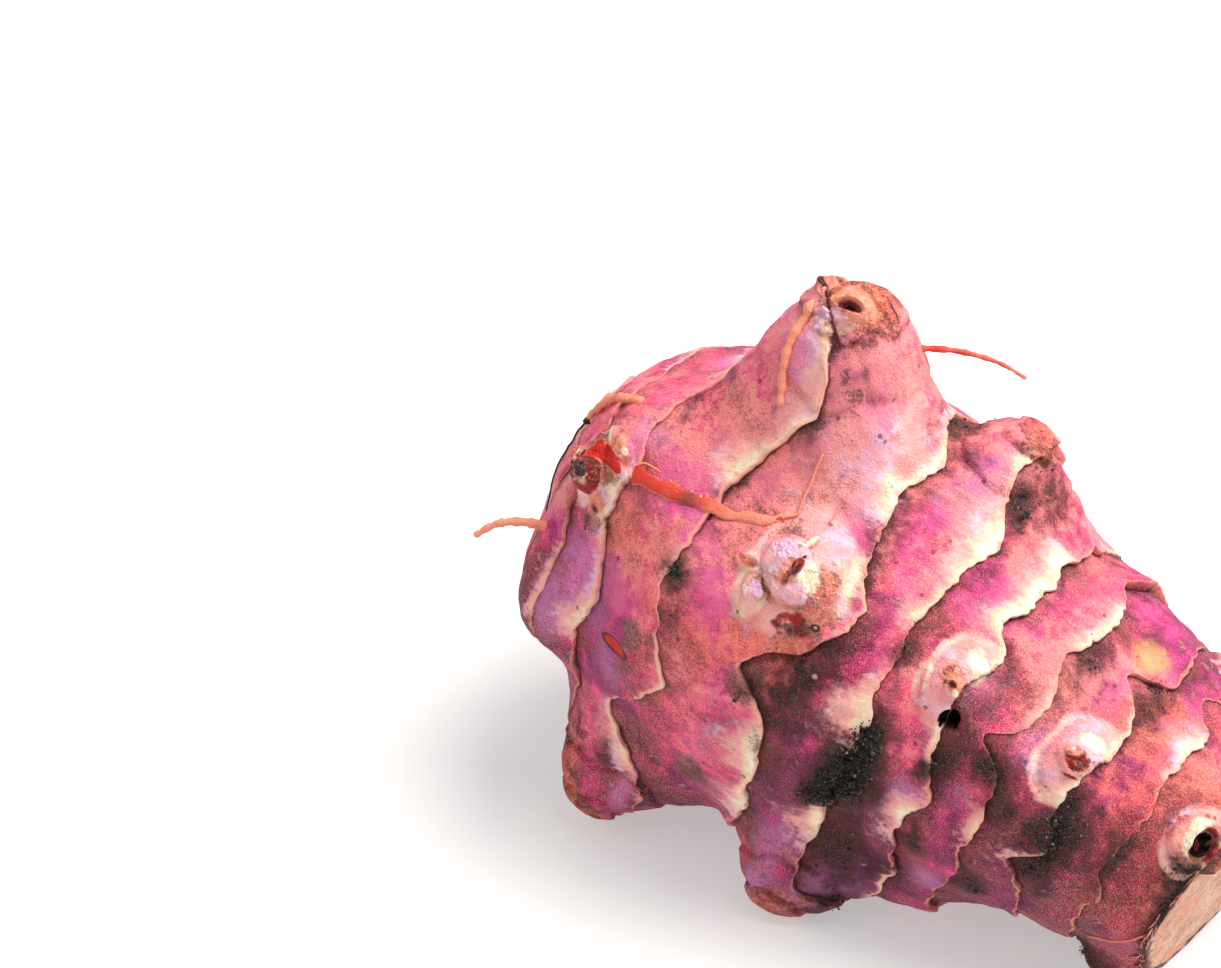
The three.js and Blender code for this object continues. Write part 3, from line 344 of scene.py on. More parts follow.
# Lobes and stains of an eye, laid over each other: middle along and round from the eye's middle in
# mm, turn of the long axis in degrees, half sizes and height in mm, how domed they are (1 round, 0
# flat with a soft edge), what they are made of, how soft their border is, how much they cover, and
# roughness in mm.
Lobe = namedtuple("Lobe", "along round turn length width height dome kind soft cover rough",
                  defaults=(0.16, 1.0, 0.1))
TISSUES = ("cream", "blush", "lilac", "orange", "rust", "red", "brown", "dark", "hole")
LOBES = {
    "main": (
        (5.2, 0.4, 50, 3, 1.6, 0, 0, "lilac", 0.95, 0.5),
        (2.8, -1.4, 50, 2.6, 1.7, 0, 0, "orange", 0.9, 0.6),
        (-2.2, -2.8, 0, 3, 1.6, 0, 0, "orange", 0.9, 0.5),
        (2.5, -3, 12, 1.3, 0.25, 0, 0.3, "rust", 0.9, 0.6, 0.2),
        (3.7, -0.8, 35, 1.3, 0.5, 0, 0.3, "rust", 0.9, 0.5, 0.15),
        (2.5, 4.9, -30, 4.4, 3, -0.15, 0.2, "rust", 0.95, 0.6, 0.15),
        (2.5, 4.7, -30, 3.6, 2.3, -0.15, 0.2, "brown", 0.9, 0.85, 0.15),
        (1.9, 4.4, -30, 2.6, 1.3, -0.1, 0.2, "brown", 0.5, 0.8, 0.15),
        (1.9, 5, 0, 1.5, 1.2, -0.1, 0.4, "dark", 0.95, 0.7, 0.2),
        (3.4, 4, 0, 1.1, 0.8, -0.1, 0.4, "dark", 0.95, 0.6, 0.2),
        (-0.6, -0.1, 50, 3.75, 2.75, 1.35, 0.75, "blush", 0.25, 1),
        (-1.7, -1.5, 50, 2.3, 1.5, 0, 0.3, "lilac", 0.8, 1),
        (-1.9, 0.9, 20, 1.6, 0.8, 0, 0.3, "cream", 0.95, 0.7),
        (1.35, -0.3, 50, 3.2, 1.7, 0, 0.3, "cream", 0.9, 1),
        (0.9, 2.1, -30, 2.1, 1.2, 0, 0.3, "blush", 0.9, 0.9),
        (-0.4, 0.3, 92, 2.3, 1.35, 0, 0.3, "orange", 0.9, 1),
        (-0.2, 0.5, 92, 1.5, 0.5, 1.5, 0.6, "rust", 0.7, 0.8, 0.12),
        (0.15, -0.65, 95, 1.05, 0.6, 1.75, 0.7, "brown", 0.7, 0.8, 0.1),
        (0.05, -0.6, 95, 0.7, 0.3, 1.8, 0.7, "red", 0.9, 0.6, 0.05),
        (0.2, -1.75, 92, 0.35, 0.22, 1.6, 0.7, "dark", 0.6, 0.9),
        (-0.3, -3.4, 104, 1.2, 0.32, 1.35, 0.8, "cream", 0.3, 1),
        (-0.8, -2.7, -6, 0.6, 0.25, 1.35, 0.8, "cream", 0.3, 1),
        (-2.9, 3.4, 50, 1.45, 1.05, 0.5, 0.35, "blush", 0.5, 1),
        (-3.3, 3.7, 50, 0.9, 0.4, 0, 0.35, "cream", 0.9, 0.9),
        (-2.3, 3, 50, 1.3, 0.8, 0.55, 0.35, "lilac", 0.8, 1),
        (-2, 2.35, 50, 1.15, 0.25, 0.7, 0.7, "dark", 0.4, 0.95, 0.15),
        (-4.5, 1.3, 0, 1.3, 1.1, 0.45, 0.5, "rust", 0.8, 0.75, 0.2),
        (4.1, 3.6, 0, 0.5, 0.45, 0.25, 0.8, "dark", 0.3),
        (4.1, 3.6, 0, 0.27, 0.24, -0.35, 0.8, "cream", 0.5, 0.8),
    ),
    "second": (
        (-0.2, -0.8, 60, 4.4, 2.8, 0, 0, "blush", 0.95, 0.8),
        (1.1, -3, 60, 3.4, 1.7, 0, 0, "cream", 0.95, 0.8),
        (-2.2, 0.4, 75, 3, 0.7, 0, 0, "cream", 0.95, 0.6),
        (-1.4, -2.2, 60, 1.7, 1.1, 0, 0.4, "lilac", 0.95, 0.6),
        (-0.4, -0.6, 60, 2.7, 1.9, 0, 0.4, "orange", 0.95, 0.9),
        (-0.9, -1.2, 120, 1.5, 0.7, 0.1, 0.5, "rust", 0.95, 0.6, 0.15),
        (-0.5, 0.2, 60, 1.5, 0.6, 0.1, 0.5, "rust", 0.95, 0.7, 0.15),
        (0.55, 0.35, 20, 1.2, 1.05, 0.6, 0.7, "orange", 0.6, 0.95, 0.06),
        (0.8, 0.55, 20, 0.9, 0.7, 0.65, 0.7, "cream", 0.8, 0.95, 0.06),
        (0.1, 0, 20, 0.62, 0.48, 0.75, 0.6, "brown", 0.5, 1, 0.12),
        (0.1, 0.05, 20, 0.35, 0.2, -0.3, 0.6, "dark", 0.6, 0.8, 0.05),
        (1.6, 3.4, 90, 1.55, 0.95, -2.2, 0.4, "hole", 0.1, 1, 0.25),
    ),
    "third": (
        (0.2, -1.2, 60, 3.9, 2.6, 0, 0, "blush", 0.95, 0.85),
        (0.5, -2.4, -10, 2.7, 1.5, 0, 0, "cream", 0.95, 0.8),
        (-1.4, -0.4, 60, 1.4, 0.6, 0, 0.4, "lilac", 0.95, 0.6),
        (0, 0.3, 30, 2.6, 2.2, 0, 0.4, "orange", 0.9, 0.85),
        (-0.1, 0.2, 30, 1.95, 1.75, 0.7, 0.8, "brown", 0.7, 0.95, 0.3),
        (-0.4, -0.4, 0, 1, 0.7, 0.8, 0.6, "orange", 0.95, 0.8, 0.2),
        (-0.7, -0.6, 0, 0.6, 0.4, 0.85, 0.6, "cream", 0.95, 0.7, 0.2),
        (0.5, 0.4, 0, 0.9, 0.6, 0, 0.6, "dark", 0.95, 0.6, 0.25),
        (0.6, 1.8, -10, 1.7, 0.35, -0.25, 0.6, "brown", 0.8, 0.8, 0.3),
        (2.4, -0.6, 40, 1.3, 0.9, 0.4, 0.6, "brown", 0.9, 0.8, 0.3),
    ),
    "rim": (
        (-0.7, 0.1, 80, 3.2, 2.5, 0.5, 0.6, "orange", 0.6, 0.9),
        (-0.5, 0, 80, 2.8, 1.9, 0.55, 0.5, "cream", 0.6, 1),
        (0.5, 0.1, 80, 2.4, 1.6, -0.3, 0.3, "brown", 0.4, 1, 0.35),
        (0.6, 0.1, 80, 1.8, 1.15, -1.7, 0.5, "hole", 0.5, 1, 0.45),
        (0.2, 0.6, 60, 1.1, 0.3, 0, 0.5, "brown", 0.8, 0.9, 0.4),
        (0.9, -0.5, 100, 0.9, 0.25, 0, 0.5, "dark", 0.8, 0.9, 0.4),
    ),
    "end": (
        (1.8, 2, 10, 2.9, 2.1, 0, 0.3, "orange", 0.8, 0.85, 0.1),
        (3, 1.2, 40, 2.2, 0.8, 0, 0.3, "lilac", 0.9, 0.8),
        (2, 2.9, 20, 1.4, 0.9, 0, 0.3, "brown", 0.95, 0.8, 0.12),
        (0.2, -2.9, 80, 2.6, 1.8, 0.2, 0.3, "orange", 0.7, 0.95, 0.3),
        (2.4, -3.4, 10, 2.6, 1.1, 0.3, 0.3, "orange", 0.7, 0.95, 0.3),
        (1.9, -2.2, 15, 3.6, 0.95, 0.3, 0.3, "red", 0.35, 1, 0.1),
        (-0.6, -1.9, 60, 1.3, 0.8, 0.35, 0.4, "red", 0.4, 1, 0.15),
        (0.2, -4.2, 60, 1.6, 0.7, 0.55, 0.3, "cream", 0.8, 0.8, 0.3),
        (2.4, -4, 20, 1.4, 0.7, 0.5, 0.3, "orange", 0.6, 0.95, 0.3),
        (3.4, -3.4, 20, 0.9, 0.5, 0.5, 0.3, "cream", 0.7, 0.8, 0.3),
        (-2.6, -1.2, 30, 1.5, 0.9, 1, 0.3, "orange", 0.5, 0.95, 0.3),
        (-2.3, -1.5, 30, 0.9, 0.4, 1.1, 0.3, "cream", 0.8, 0.9, 0.2),
        (-2.9, -0.2, 30, 1, 0.35, 0.9, 0.8, "dark", 0.6, 0.9, 0.1),
        (-1.2, -1.6, 60, 0.5, 0.35, 1, 0.8, "dark", 0.6, 0.9, 0.1),
        (0.1, 0.2, 20, 2.1, 1.85, 1.7, 0.9, "brown", 0.2, 1, 0.35),
        (0.5, 0.4, 20, 1.3, 1.3, 0, 0.7, "red", 0.95, 0.45, 0.15),
        (-0.3, -0.5, 40, 1.5, 0.8, 0, 0.7, "dark", 0.95, 0.9, 0.2),
        (0.3, -0.5, 70, 1.4, 0.6, 0, 0.7, "dark", 0.9, 1, 0.25),
        (-0.7, 0.6, 20, 1.1, 0.7, 0, 0.7, "dark", 0.95, 0.7, 0.25),
    ),
    "crown": (
        (0, 0, 70, 4.2, 3, 0.05, 0.3, "orange", 0.9, 0.95, 0.12),
        (0.2, 0.3, -15, 1.9, 1.2, 0.25, 0.5, "cream", 0.8, 0.75, 0.1),
        (-2.4, -1, 60, 2.4, 0.5, 0.3, 0.5, "rust", 0.8, 0.8, 0.25),
        (-2.8, -1.6, 60, 2, 0.3, 0.4, 0.5, "dark", 0.8, 0.8, 0.25),
        (1.4, -2.2, 20, 2.2, 0.5, 0.3, 0.5, "rust", 0.9, 0.8, 0.2),
        (2.6, -2.4, 30, 1.6, 0.35, 0.35, 0.5, "dark", 0.9, 0.8, 0.2),
        (1.2, -0.6, 0, 2.2, 1.4, 0, 0.3, "orange", 0.9, 0.8, 0.2),
        (-0.6, 1.6, 0, 2.4, 0.9, 0, 0.3, "blush", 0.9, 0.8, 0.1),
        (0.2, 0.3, -15, 1.1, 0.55, -0.7, 0.5, "brown", 0.5, 1, 0.12),
        (0.2, 0.3, -15, 0.8, 0.32, -0.4, 0.5, "hole", 0.7, 0.85, 0.1),
    ),
    "side": (
        (1.8, -0.6, -60, 2.6, 1.8, 0, 0, "lilac", 0.9, 0.7),
        (0.2, -0.2, 50, 2.6, 1.9, 0.9, 0.7, "lilac", 0.25, 1, 0.02),
        (1.2, -0.4, 50, 1.9, 1, 0, 0.4, "cream", 0.6, 1, 0.02),
        (0, 0.1, 80, 1.3, 0.7, 0, 0.4, "orange", 0.9, 0.8),
        (0, 0.1, 80, 1.1, 0.45, 1.3, 0.6, "brown", 0.5, 0.95, 0.2),
        (0.1, 0, 80, 0.7, 0.12, -0.4, 0.8, "dark", 0.5, 0.9),
    ),
    "small": (
        (0.3, -0.2, 60, 2.8, 2, 0, 0, "cream", 0.95, 0.8),
        (0.1, 0, 40, 1.8, 1.3, 0, 0.4, "orange", 0.9, 0.8),
        (0, 0, 0, 1.1, 0.95, 0.7, 0.8, "brown", 0.5, 0.9, 0.3),
        (-0.2, -0.2, 40, 0.7, 0.5, 0.8, 0.8, "rust", 0.8, 0.7, 0.2),
        (0.1, 0.1, 60, 0.4, 0.2, -0.35, 0.8, "dark", 0.4, 0.8),
    ),
}

# Patches of finer skin round the eyes: place, reach in mm and which lobes.
Patch = namedtuple("Patch", "skin angle reach lobes")
PATCHES = (
    Patch(50, 44, 7.6, "main"), Patch(67.6, 46, 5.6, "second"), Patch(80.6, 43.5, 4.6, "third"),
    Patch(94.2, 41, 3.4, "rim"), Patch(26.6, 48.2, 6.0, "end"), Patch(43.2, 4.5, 4.8, "crown"),
    Patch(50, 226, 5.0, "side"), Patch(68, 228, 4.0, "small"), Patch(81, 224, 4.0, "small"),
    Patch(36, 318, 4.4, "side"), Patch(86, 315, 3.6, "small"), Patch(34, 185, 4.0, "small"),
    Patch(13.5, 150, 3.8, "small"), Patch(15, 285, 4.4, "side"),
)
PATCH_PITCH = 0.1
PATCH_SPOKES = 2.4
PATCH_SINK = 2.8

# The skin's bands, by their first and last scale.
SKIN_BANDS = (("skin_bud_end", 0, 4), ("skin_middle", 5, 7), ("skin_cut_end", 8, 11))

# Rootlets: how deep they start, and how far apart their points are on the skin and along them.
ROOTLET_DEPTH = 2.2
STEP_PITCH = 0.9
ROOTLET_PITCH = 0.35
ROOTLET_SMOOTHINGS = 6
FRAY_RADII = np.array([0.08, 0.06, 0.02])

# Fibres along the cut: the rows of skin they lie on, their bends, pitch and lift in mm.
RIM_ROWS = 7
RIM_BENDS = 5
RIM_PITCH = 0.25
RIM_LIFT = (0.04, 0.2)

# Crumbs: their largest half width, how far they stray and the lowest that they lie, in mm. None
# lies on the last rows of skin, at the cut.
CRUMB_LARGEST = 0.32
CRUMB_STRAY = 0.24
CLEAN_ROWS = 4
CRUMB_FLOOR = 1.0

# Rows after a scale's lip: how far ahead of the edge, and how far down the step.
CURL = ((0.06, 0.04), (0.12, 0.3), (0.08, 0.75))
ROW_CROWDING = 0.6

# Skin above this height is salmon, and turns mauve over the drop below it: the mauve is partly the
# skin's own tone and partly painted shade lower on the body.
LIT_HEIGHT = 44.0
SHADED_DROP = 34.0
DEEPNESS_LIT = 0.3
DEEPNESS_GAIN = 0.62

# Bleached edges run this much further round, and reach this share and this many times inwards.
PALE_STRETCH = 1.2
PALE_BAND = 0.34
PALE_WASH = 1.1

# The studio, metres: the floor, and the place, size and tint of each lamp.
FLOOR_SIZE = 3.0
LAMPS = {
    "key": ((0.22, 0.18, 0.55), 0.5, (1.0, 0.975, 0.93)),
    "fill": ((-0.45, -0.45, 0.35), 0.6, (1.0, 1.0, 1.0)),
}

# The photograph's camera, in the grown shape's own millimetres.
LENS = 85.0
SENSOR = 36.0
CAMERA_AZIMUTH = math.radians(36.0)
CAMERA_HEIGHT = math.radians(35.0)
CAMERA_DISTANCE = 305.0
CAMERA_TARGET = np.array([-31.8, -14.6, 44.5])


def chance(a, b):
    """A repeatable number from 0 to 1 for a pair of numbers."""
    x = math.sin(a * 12.9898 + b * 78.233) * 43758.5453
    return x - math.floor(x)


def strewn(seed, count, along, around, amount):
    """Seeded marks over the sides that the photograph doesn't show."""
    for i in range(count):
        size = 0.6 + 0.8 * chance(seed + 2, i)
        skin = FAR_SKIN[0] + FAR_SKIN[1] * chance(seed, i)
        angle = FAR_ANGLES[0] + FAR_ANGLES[1] * chance(seed + 1, i)
        strength = amount * (0.6 + 0.7 * chance(seed + 3, i))
        yield Mark(skin, angle, along * size, around * size, strength)


@lru_cache(maxsize=None)
def marks_of(kind):
    """All marks of a kind, the seeded ones last."""
    far = strewn(*FAR_MARKS[kind]) if kind in FAR_MARKS else ()
    return (*(Mark(*row) for row in MARKS[kind]), *far)


def wave(seed, angle, first, last):
    """A wave round the tuber made of a few harmonics with seeded phases, about -1 to 1."""
    total = 0.0
    weight = 0.0
    for m in range(first, last + 1):
        share = 1.0 / math.sqrt(m - first + 1)
        total = total + share * np.sin(m * angle + TURN * chance(seed, m))
        weight += share * share
    return total / math.sqrt(weight)


def soft_noise(points, size, seed, straight=False):
    """Value noise from 0 to 1 at points, smooth or with straight slopes, with bumps of a size."""
    spots = points / size + seed * 17.31
    cell = np.floor(spots)
    part = spots - cell
    if not straight:
        part = part * part * (3 - 2 * part)
    total = 0.0
    for corner in np.ndindex(2, 2, 2):
        node = cell + corner
        key = node @ np.array([127.1, 311.7, 74.7]) + seed
        height = np.modf(np.abs(np.sin(key) * 43758.5453))[0]
        weight = np.prod(np.where(np.array(corner) == 1, part, 1 - part), axis=-1)
        total = total + height * weight
    return total


def turn_between(a, b):
    """Shortest signed turn between angles in degrees."""
    return (a - b + 180.0) % 360.0 - 180.0


def smooth(x):
    """Smooth step from 0 to 1."""
    t = np.clip(x, 0.0, 1.0)
    return t * t * (3 - 2 * t)


def unit(vectors):
    """Vectors scaled to length 1."""
    return vectors / np.linalg.norm(vectors, axis=-1, keepdims=True)


SPINE = np.array([math.cos(PITCH), 0.0, -math.sin(PITCH)])
UP = np.array([0.0, 0.0, 1.0])


def spine_at(along):
    """Point, tangent, side and up of the spine at distances along it."""
    t = np.asarray(along, dtype=float)[..., None] / SPINE_LENGTH
    point = BUD_END + t * SPINE_LENGTH * SPINE + 4 * t * (1 - t) * BOW * UP
    tangent = unit(SPINE + 4 * (1 - 2 * t) * BOW / SPINE_LENGTH * UP)
    side = unit(np.cross(tangent, UP))
    return point, tangent, side, np.cross(side, tangent)


def profile_at(skin):
    """Distance along the spine and radius for distances along the skin."""
    phi = np.clip(skin / NOSE_SKIN, 0.0, 1.0) * math.pi / 2
    nose = NOSE_LENGTH * (1 - np.cos(phi) ** 0.9)
    along = np.where(skin < NOSE_SKIN, nose, NOSE_LENGTH + skin - NOSE_SKIN)
    share = np.clip((along - NOSE_LENGTH) / (SPINE_LENGTH - NOSE_LENGTH), 0.0, 2.0)
    taper = (1 - np.cos(math.pi / 2 * share ** 0.95)) ** 0.8
    radius = np.where(skin < NOSE_SKIN, GIRTH_RADIUS * np.sin(phi) ** 0.85,
                      GIRTH_RADIUS - (GIRTH_RADIUS - STALK_RADIUS) * taper)
    return along, radius


def round_body(skin, angle):
    """Points on the round body before knobs, with outward, along and round directions."""
    skin, angle = np.broadcast_arrays(np.asarray(skin, dtype=float), np.asarray(angle, dtype=float))
    along, radius = profile_at(skin)
    point, tangent, side, up = spine_at(along)
    c = np.cos(np.radians(angle))[..., None]
    s = np.sin(np.radians(angle))[..., None]
    out = up * c * FLATNESS + side * s
    around = side * c - up * s
    return point + out * radius[..., None], out, tangent, around


def knob_pull(knob, point):
    """How strongly a knob pulls the round body's points out, 0 to 1."""
    centre = round_body(knob.skin, knob.angle)[0]
    return np.exp(-(np.linalg.norm(point - centre, axis=-1) / knob.spread) ** knob.power)


def plain_skin(skin, angle):
    """The body with its knobs pulled out, still without scales."""
    point = round_body(skin, angle)[0]
    moved = point.copy()
    for knob in KNOBS.values():
        _, out, tangent, around = round_body(knob.skin, knob.angle)
        push = out * knob.height + tangent * knob.lean + around * knob.slide
        moved += knob_pull(knob, point)[..., None] * push
    return moved


def outward_at(skin, angle):
    """Outward normals of the plain skin."""
    step = 0.4
    turn = 1.0
    along = plain_skin(skin + step, angle) - plain_skin(np.maximum(skin - step, 0.0), angle)
    around = plain_skin(skin, angle + turn) - plain_skin(skin, angle - turn)
    out = unit(np.cross(around, along))
    facing = np.sum(out * round_body(skin, angle)[1], axis=-1, keepdims=True)
    return np.where(facing < 0, -out, out)


def ridge_skin(k, angle, raggedness=0.0):
    """Where ridge k lies at angles; the last one is the rim of the cut."""
    if k < 0:
        return np.zeros_like(angle)
    if k == len(RIDGES):
        return CUT_SKIN - CUT_LEAN * np.cos(np.radians(angle - CUT_TURN))
    skin = np.full_like(angle, float(RIDGES[k].skin))
    for at, reach, spread in RIDGES[k].swings:
        skin += reach * np.exp(-(turn_between(angle, at) / spread) ** 2)
    turn = np.radians(angle)
    seed = k + RIDGE_SEED
    skin += 0.4 * wave(seed + 1, turn, 5, 14) + 0.12 * wave(seed + 31, turn, 15, 29)
    if raggedness:
        point = round_body(skin, angle)[0]
        torn = sum(weight * soft_noise(point, size, seed + more, True)
                   for weight, size, more in TEARS)
        skin += raggedness * (torn - TEAR_MIDDLE)
    return skin


def step_depth(k, angle):
    """Depth of the step behind ridge k."""
    if k < 0 or k == len(RIDGES):
        return np.zeros_like(angle)
    swing = 0.8 + 0.45 * wave(k + RIDGE_SEED + 11, np.radians(angle), 2, 7)
    return STEP_SHARE * RIDGES[k].depth * np.clip(swing, 0.15, 1.5)


def knob_relief(point):
    """Rings round the tall knobs: the skin steps down away from the tip."""
    relief = np.zeros(point.shape[:-1])
    for knob in KNOBS.values():
        if knob.height < RINGED_KNOB:
            continue
        centre = round_body(knob.skin, knob.angle)[0]
        heading = np.arctan2(point[..., 1] - centre[1], point[..., 0] - centre[0])
        pull = knob_pull(knob, point) + 0.05 * wave(knob.skin, heading, 2, 6)
        for ring in KNOB_RINGS:
            past = ring - pull
            inside = (past > 0) & (past < KNOB_RING_REACH)
            relief -= np.where(inside, KNOB_RING_DEPTH * (1 - past / KNOB_RING_REACH), 0.0)
    return relief


def knob_tip(point):
    """How near the points are to the tip of a tall knob, 0 to 1."""
    tip = np.zeros(point.shape[:-1])
    for knob in KNOBS.values():
        if knob.height >= RINGED_KNOB:
            tip = np.maximum(tip, knob_pull(knob, point))
    return tip


def eye_reach(eye, point):
    """Distance from an eye's middle as a share of its size."""
    centre = plain_skin(eye.skin, eye.angle)
    return np.linalg.norm(point - centre, axis=-1) / eye.size


def eye_bed(eye, point, skin):
    """Distance from an eye's middle, 1 at the edge of its bed, which is longer round the tuber."""
    apart = eye_reach(eye, point) * eye.size
    along = np.minimum(np.abs(skin - eye.skin), apart)
    around = np.sqrt(apart ** 2 - along ** 2)
    return np.hypot(along / BED_ALONG, around / BED_AROUND) / eye.size


def eye_home(eye, raggedness):
    """The number of the scale that an eye sits on."""
    angle = np.array([float(eye.angle)])
    return sum(int(ridge_skin(k, angle, raggedness)[0] < eye.skin) for k in range(len(RIDGES)))


def eye_halo(eye, point, skin):
    """The pale edge and bed round an eye, palest on the side towards the cut."""
    reach = eye_bed(eye, point, skin) + 0.25 * (soft_noise(point, 2.4, 33) - 0.5)
    ring = np.exp(-((reach - 0.98) / 0.11) ** 2)
    bed = smooth((1.1 - reach) / 0.25)
    towards_cut = smooth((skin - eye.skin) / eye.size + 0.75)
    spread = soft_noise(point, 4.0, 35)
    return 0.8 * ring * smooth((spread - 0.2) / 0.5) + bed * (0.15 + 0.4 * towards_cut)


def eye_relief(point, skin):
    """Mounds and pits of the eyes, with a crease round each bed."""
    relief = np.zeros(point.shape[:-1])
    for eye in EYES:
        relief += eye.mound * np.exp(-(eye_reach(eye, point) / MOUND_SPREAD) ** 2)
        if eye.bud:
            relief -= RING_DEPTH * np.exp(-((eye_bed(eye, point, skin) - 1) / RING_WIDTH) ** 2)
    return relief


def lumps(skin, angle):
    """Low broad lumps over the whole body."""
    turn = np.radians(angle)
    return (0.35 * np.sin(skin / 5.3 + 2.1 * np.sin(3 * turn))
            + 0.3 * np.sin(skin / 3.1 + 4 * turn + 1.7))


def mark_amount(kind, skin, angle):
    """Adds up the soft oval marks of a kind at places on the skin."""
    radius = profile_at(skin)[1]
    total = np.zeros(skin.shape)
    for mark in marks_of(kind):
        along = (skin - mark.skin) / mark.along
        around = np.radians(turn_between(angle, mark.angle)) * radius / mark.round
        total += mark.amount * np.exp(-along ** 2 - around ** 2)
    return total


def pale_amount(k, lip_distance, angle, wider):
    """How bleached the edge of scale k is, at distances from its lip and widened by a factor."""
    total = np.zeros(angle.shape)
    if k < len(RIDGES):
        for at, spread, reach, amount in RIDGES[k].pale:
            near = np.exp(-(turn_between(angle, at) / spread / PALE_STRETCH) ** 2)
            total += amount * near * np.exp(-(lip_distance / reach / wider) ** 1.5)
    return total


def tone_depth_and_painted_shade(skin, angle, points):
    """How far the skin turns from salmon to mauve: more low on the body, which is painted shade, more
    at deep marks and less at warm patches.
    """
    height = points[..., 2]
    # Painted shade: the lower a point sits on the body, the deeper its tone.
    low = smooth((LIT_HEIGHT - height) / SHADED_DROP)
    marked = mark_amount("deep", skin, angle) - mark_amount("warm", skin, angle)
    return DEEPNESS_LIT + DEEPNESS_GAIN * low + marked


def column_angles(count):
    """Angles of the columns, closer together where knobs stretch the skin."""
    samples = np.linspace(0.0, 360.0, 721)
    skin = np.arange(20.0, CUT_SKIN, 4.0)
    points = plain_skin(skin[:, None], samples[None, :])
    lengths = np.linalg.norm(np.diff(points, axis=1), axis=-1).max(axis=0)
    total = np.concatenate([[0.0], np.cumsum(lengths)])
    return np.interp(total[-1] * np.arange(count) / count, total, samples)


def segment_reach(k):
    """Longest way across scale k over the skin, knobs included."""
    angle = np.arange(0.0, 360.0, 10.0)
    start = ridge_skin(k - 1, angle)
    end = ridge_skin(k, angle)
    t = np.linspace(0.0, 1.0, 9)[:, None]
    points = plain_skin(start + (end - start) * t, angle[None, :])
    return np.linalg.norm(np.diff(points, axis=0), axis=-1).sum(axis=0).max()


def crowded_shares(count):
    """Shares from 0 to 1 that crowd at both ends."""
    u = np.linspace(0.0, 1.0, count + 1)
    return u - ROW_CROWDING * np.sin(TURN * u) / TURN


def to_frame(points):
    """From the grown shape's millimetres to the frame's metres, pressed flat where it stands."""
    placed = (points + SETTLE) * MM
    placed[..., 2] = np.maximum(placed[..., 2], 0.0)
    return placed


def cut_plane(rim):
    """Middle, normal and spine direction of the flat cut."""
    tangent, side, up = (v[0] for v in spine_at(np.array([NOSE_LENGTH + CUT_SKIN - NOSE_SKIN]))[1:])
    lean = CUT_LEAN / STALK_RADIUS
    turn = math.radians(CUT_TURN)
    normal = unit(tangent + side * lean * math.sin(turn) + up * lean * math.cos(turn))
    return rim.mean(axis=0), normal, tangent


def flatten_cut(points, skin):
    """Slides the last rows along the spine so that the rim lies in one plane."""
    centre, normal, tangent = cut_plane(points[-1])
    off = (points[-1] - centre) @ normal / np.dot(tangent, normal)
    near = smooth(1 - (skin[-1] - skin) / 2.5)
    points -= tangent * (off * near)[..., None]


def pick(choices, scale):
    """From a list with one array for each scale, the values at each point's scale."""
    total = 0.0
    for k, values in enumerate(choices):
        total = total + np.where(scale == k, values, 0.0)
    return total


def patch_reach(patch, point):
    """Distance from a patch's middle as a share of its reach."""
    return np.linalg.norm(point - plain_skin(patch.skin, patch.angle), axis=-1) / patch.reach


def scale_relief(plain, scale, share, behind, lip_depth, to_lip):
    """How far the scales stand off the body, from their grooves to their flaring lips."""
    groove = -behind * (1 - share) ** CLIMB_POWER
    lip = LIP_SHARE * lip_depth * share ** 4
    swell = SWELL * 4 * share * (1 - share) * np.where(scale > 0, 1.0, 0.4)
    flare = smooth((soft_noise(plain, 3.2, 71) - 0.5) / 0.3) * np.exp(-to_lip / 0.8)
    flare = np.where(scale == len(RIDGES), 0.0, LIP_FLARE * flare * smooth(lip_depth / 0.4))
    relief = groove + lip + swell + flare
    for height, size, seed in LUMPS:
        relief = relief + height * (soft_noise(plain, size, seed) - 0.5)
    return relief


def eye_facts(plain, skin, scale, raggedness):
    """The pale beds, corky stains and halos of the eyes that have buds."""
    bed = stain = halo = 0.0
    for eye in EYES:
        if not eye.bud:
            continue
        home = scale == eye_home(eye, raggedness)
        bed = bed + home * smooth((1.05 - eye_bed(eye, plain, skin)) / 0.4)
        stain = stain + np.exp(-(eye_reach(eye, plain) / 0.42) ** 2)
        halo = halo + home * eye_halo(eye, plain, skin)
    return {"bed": bed, "stain": stain, "halo": halo}


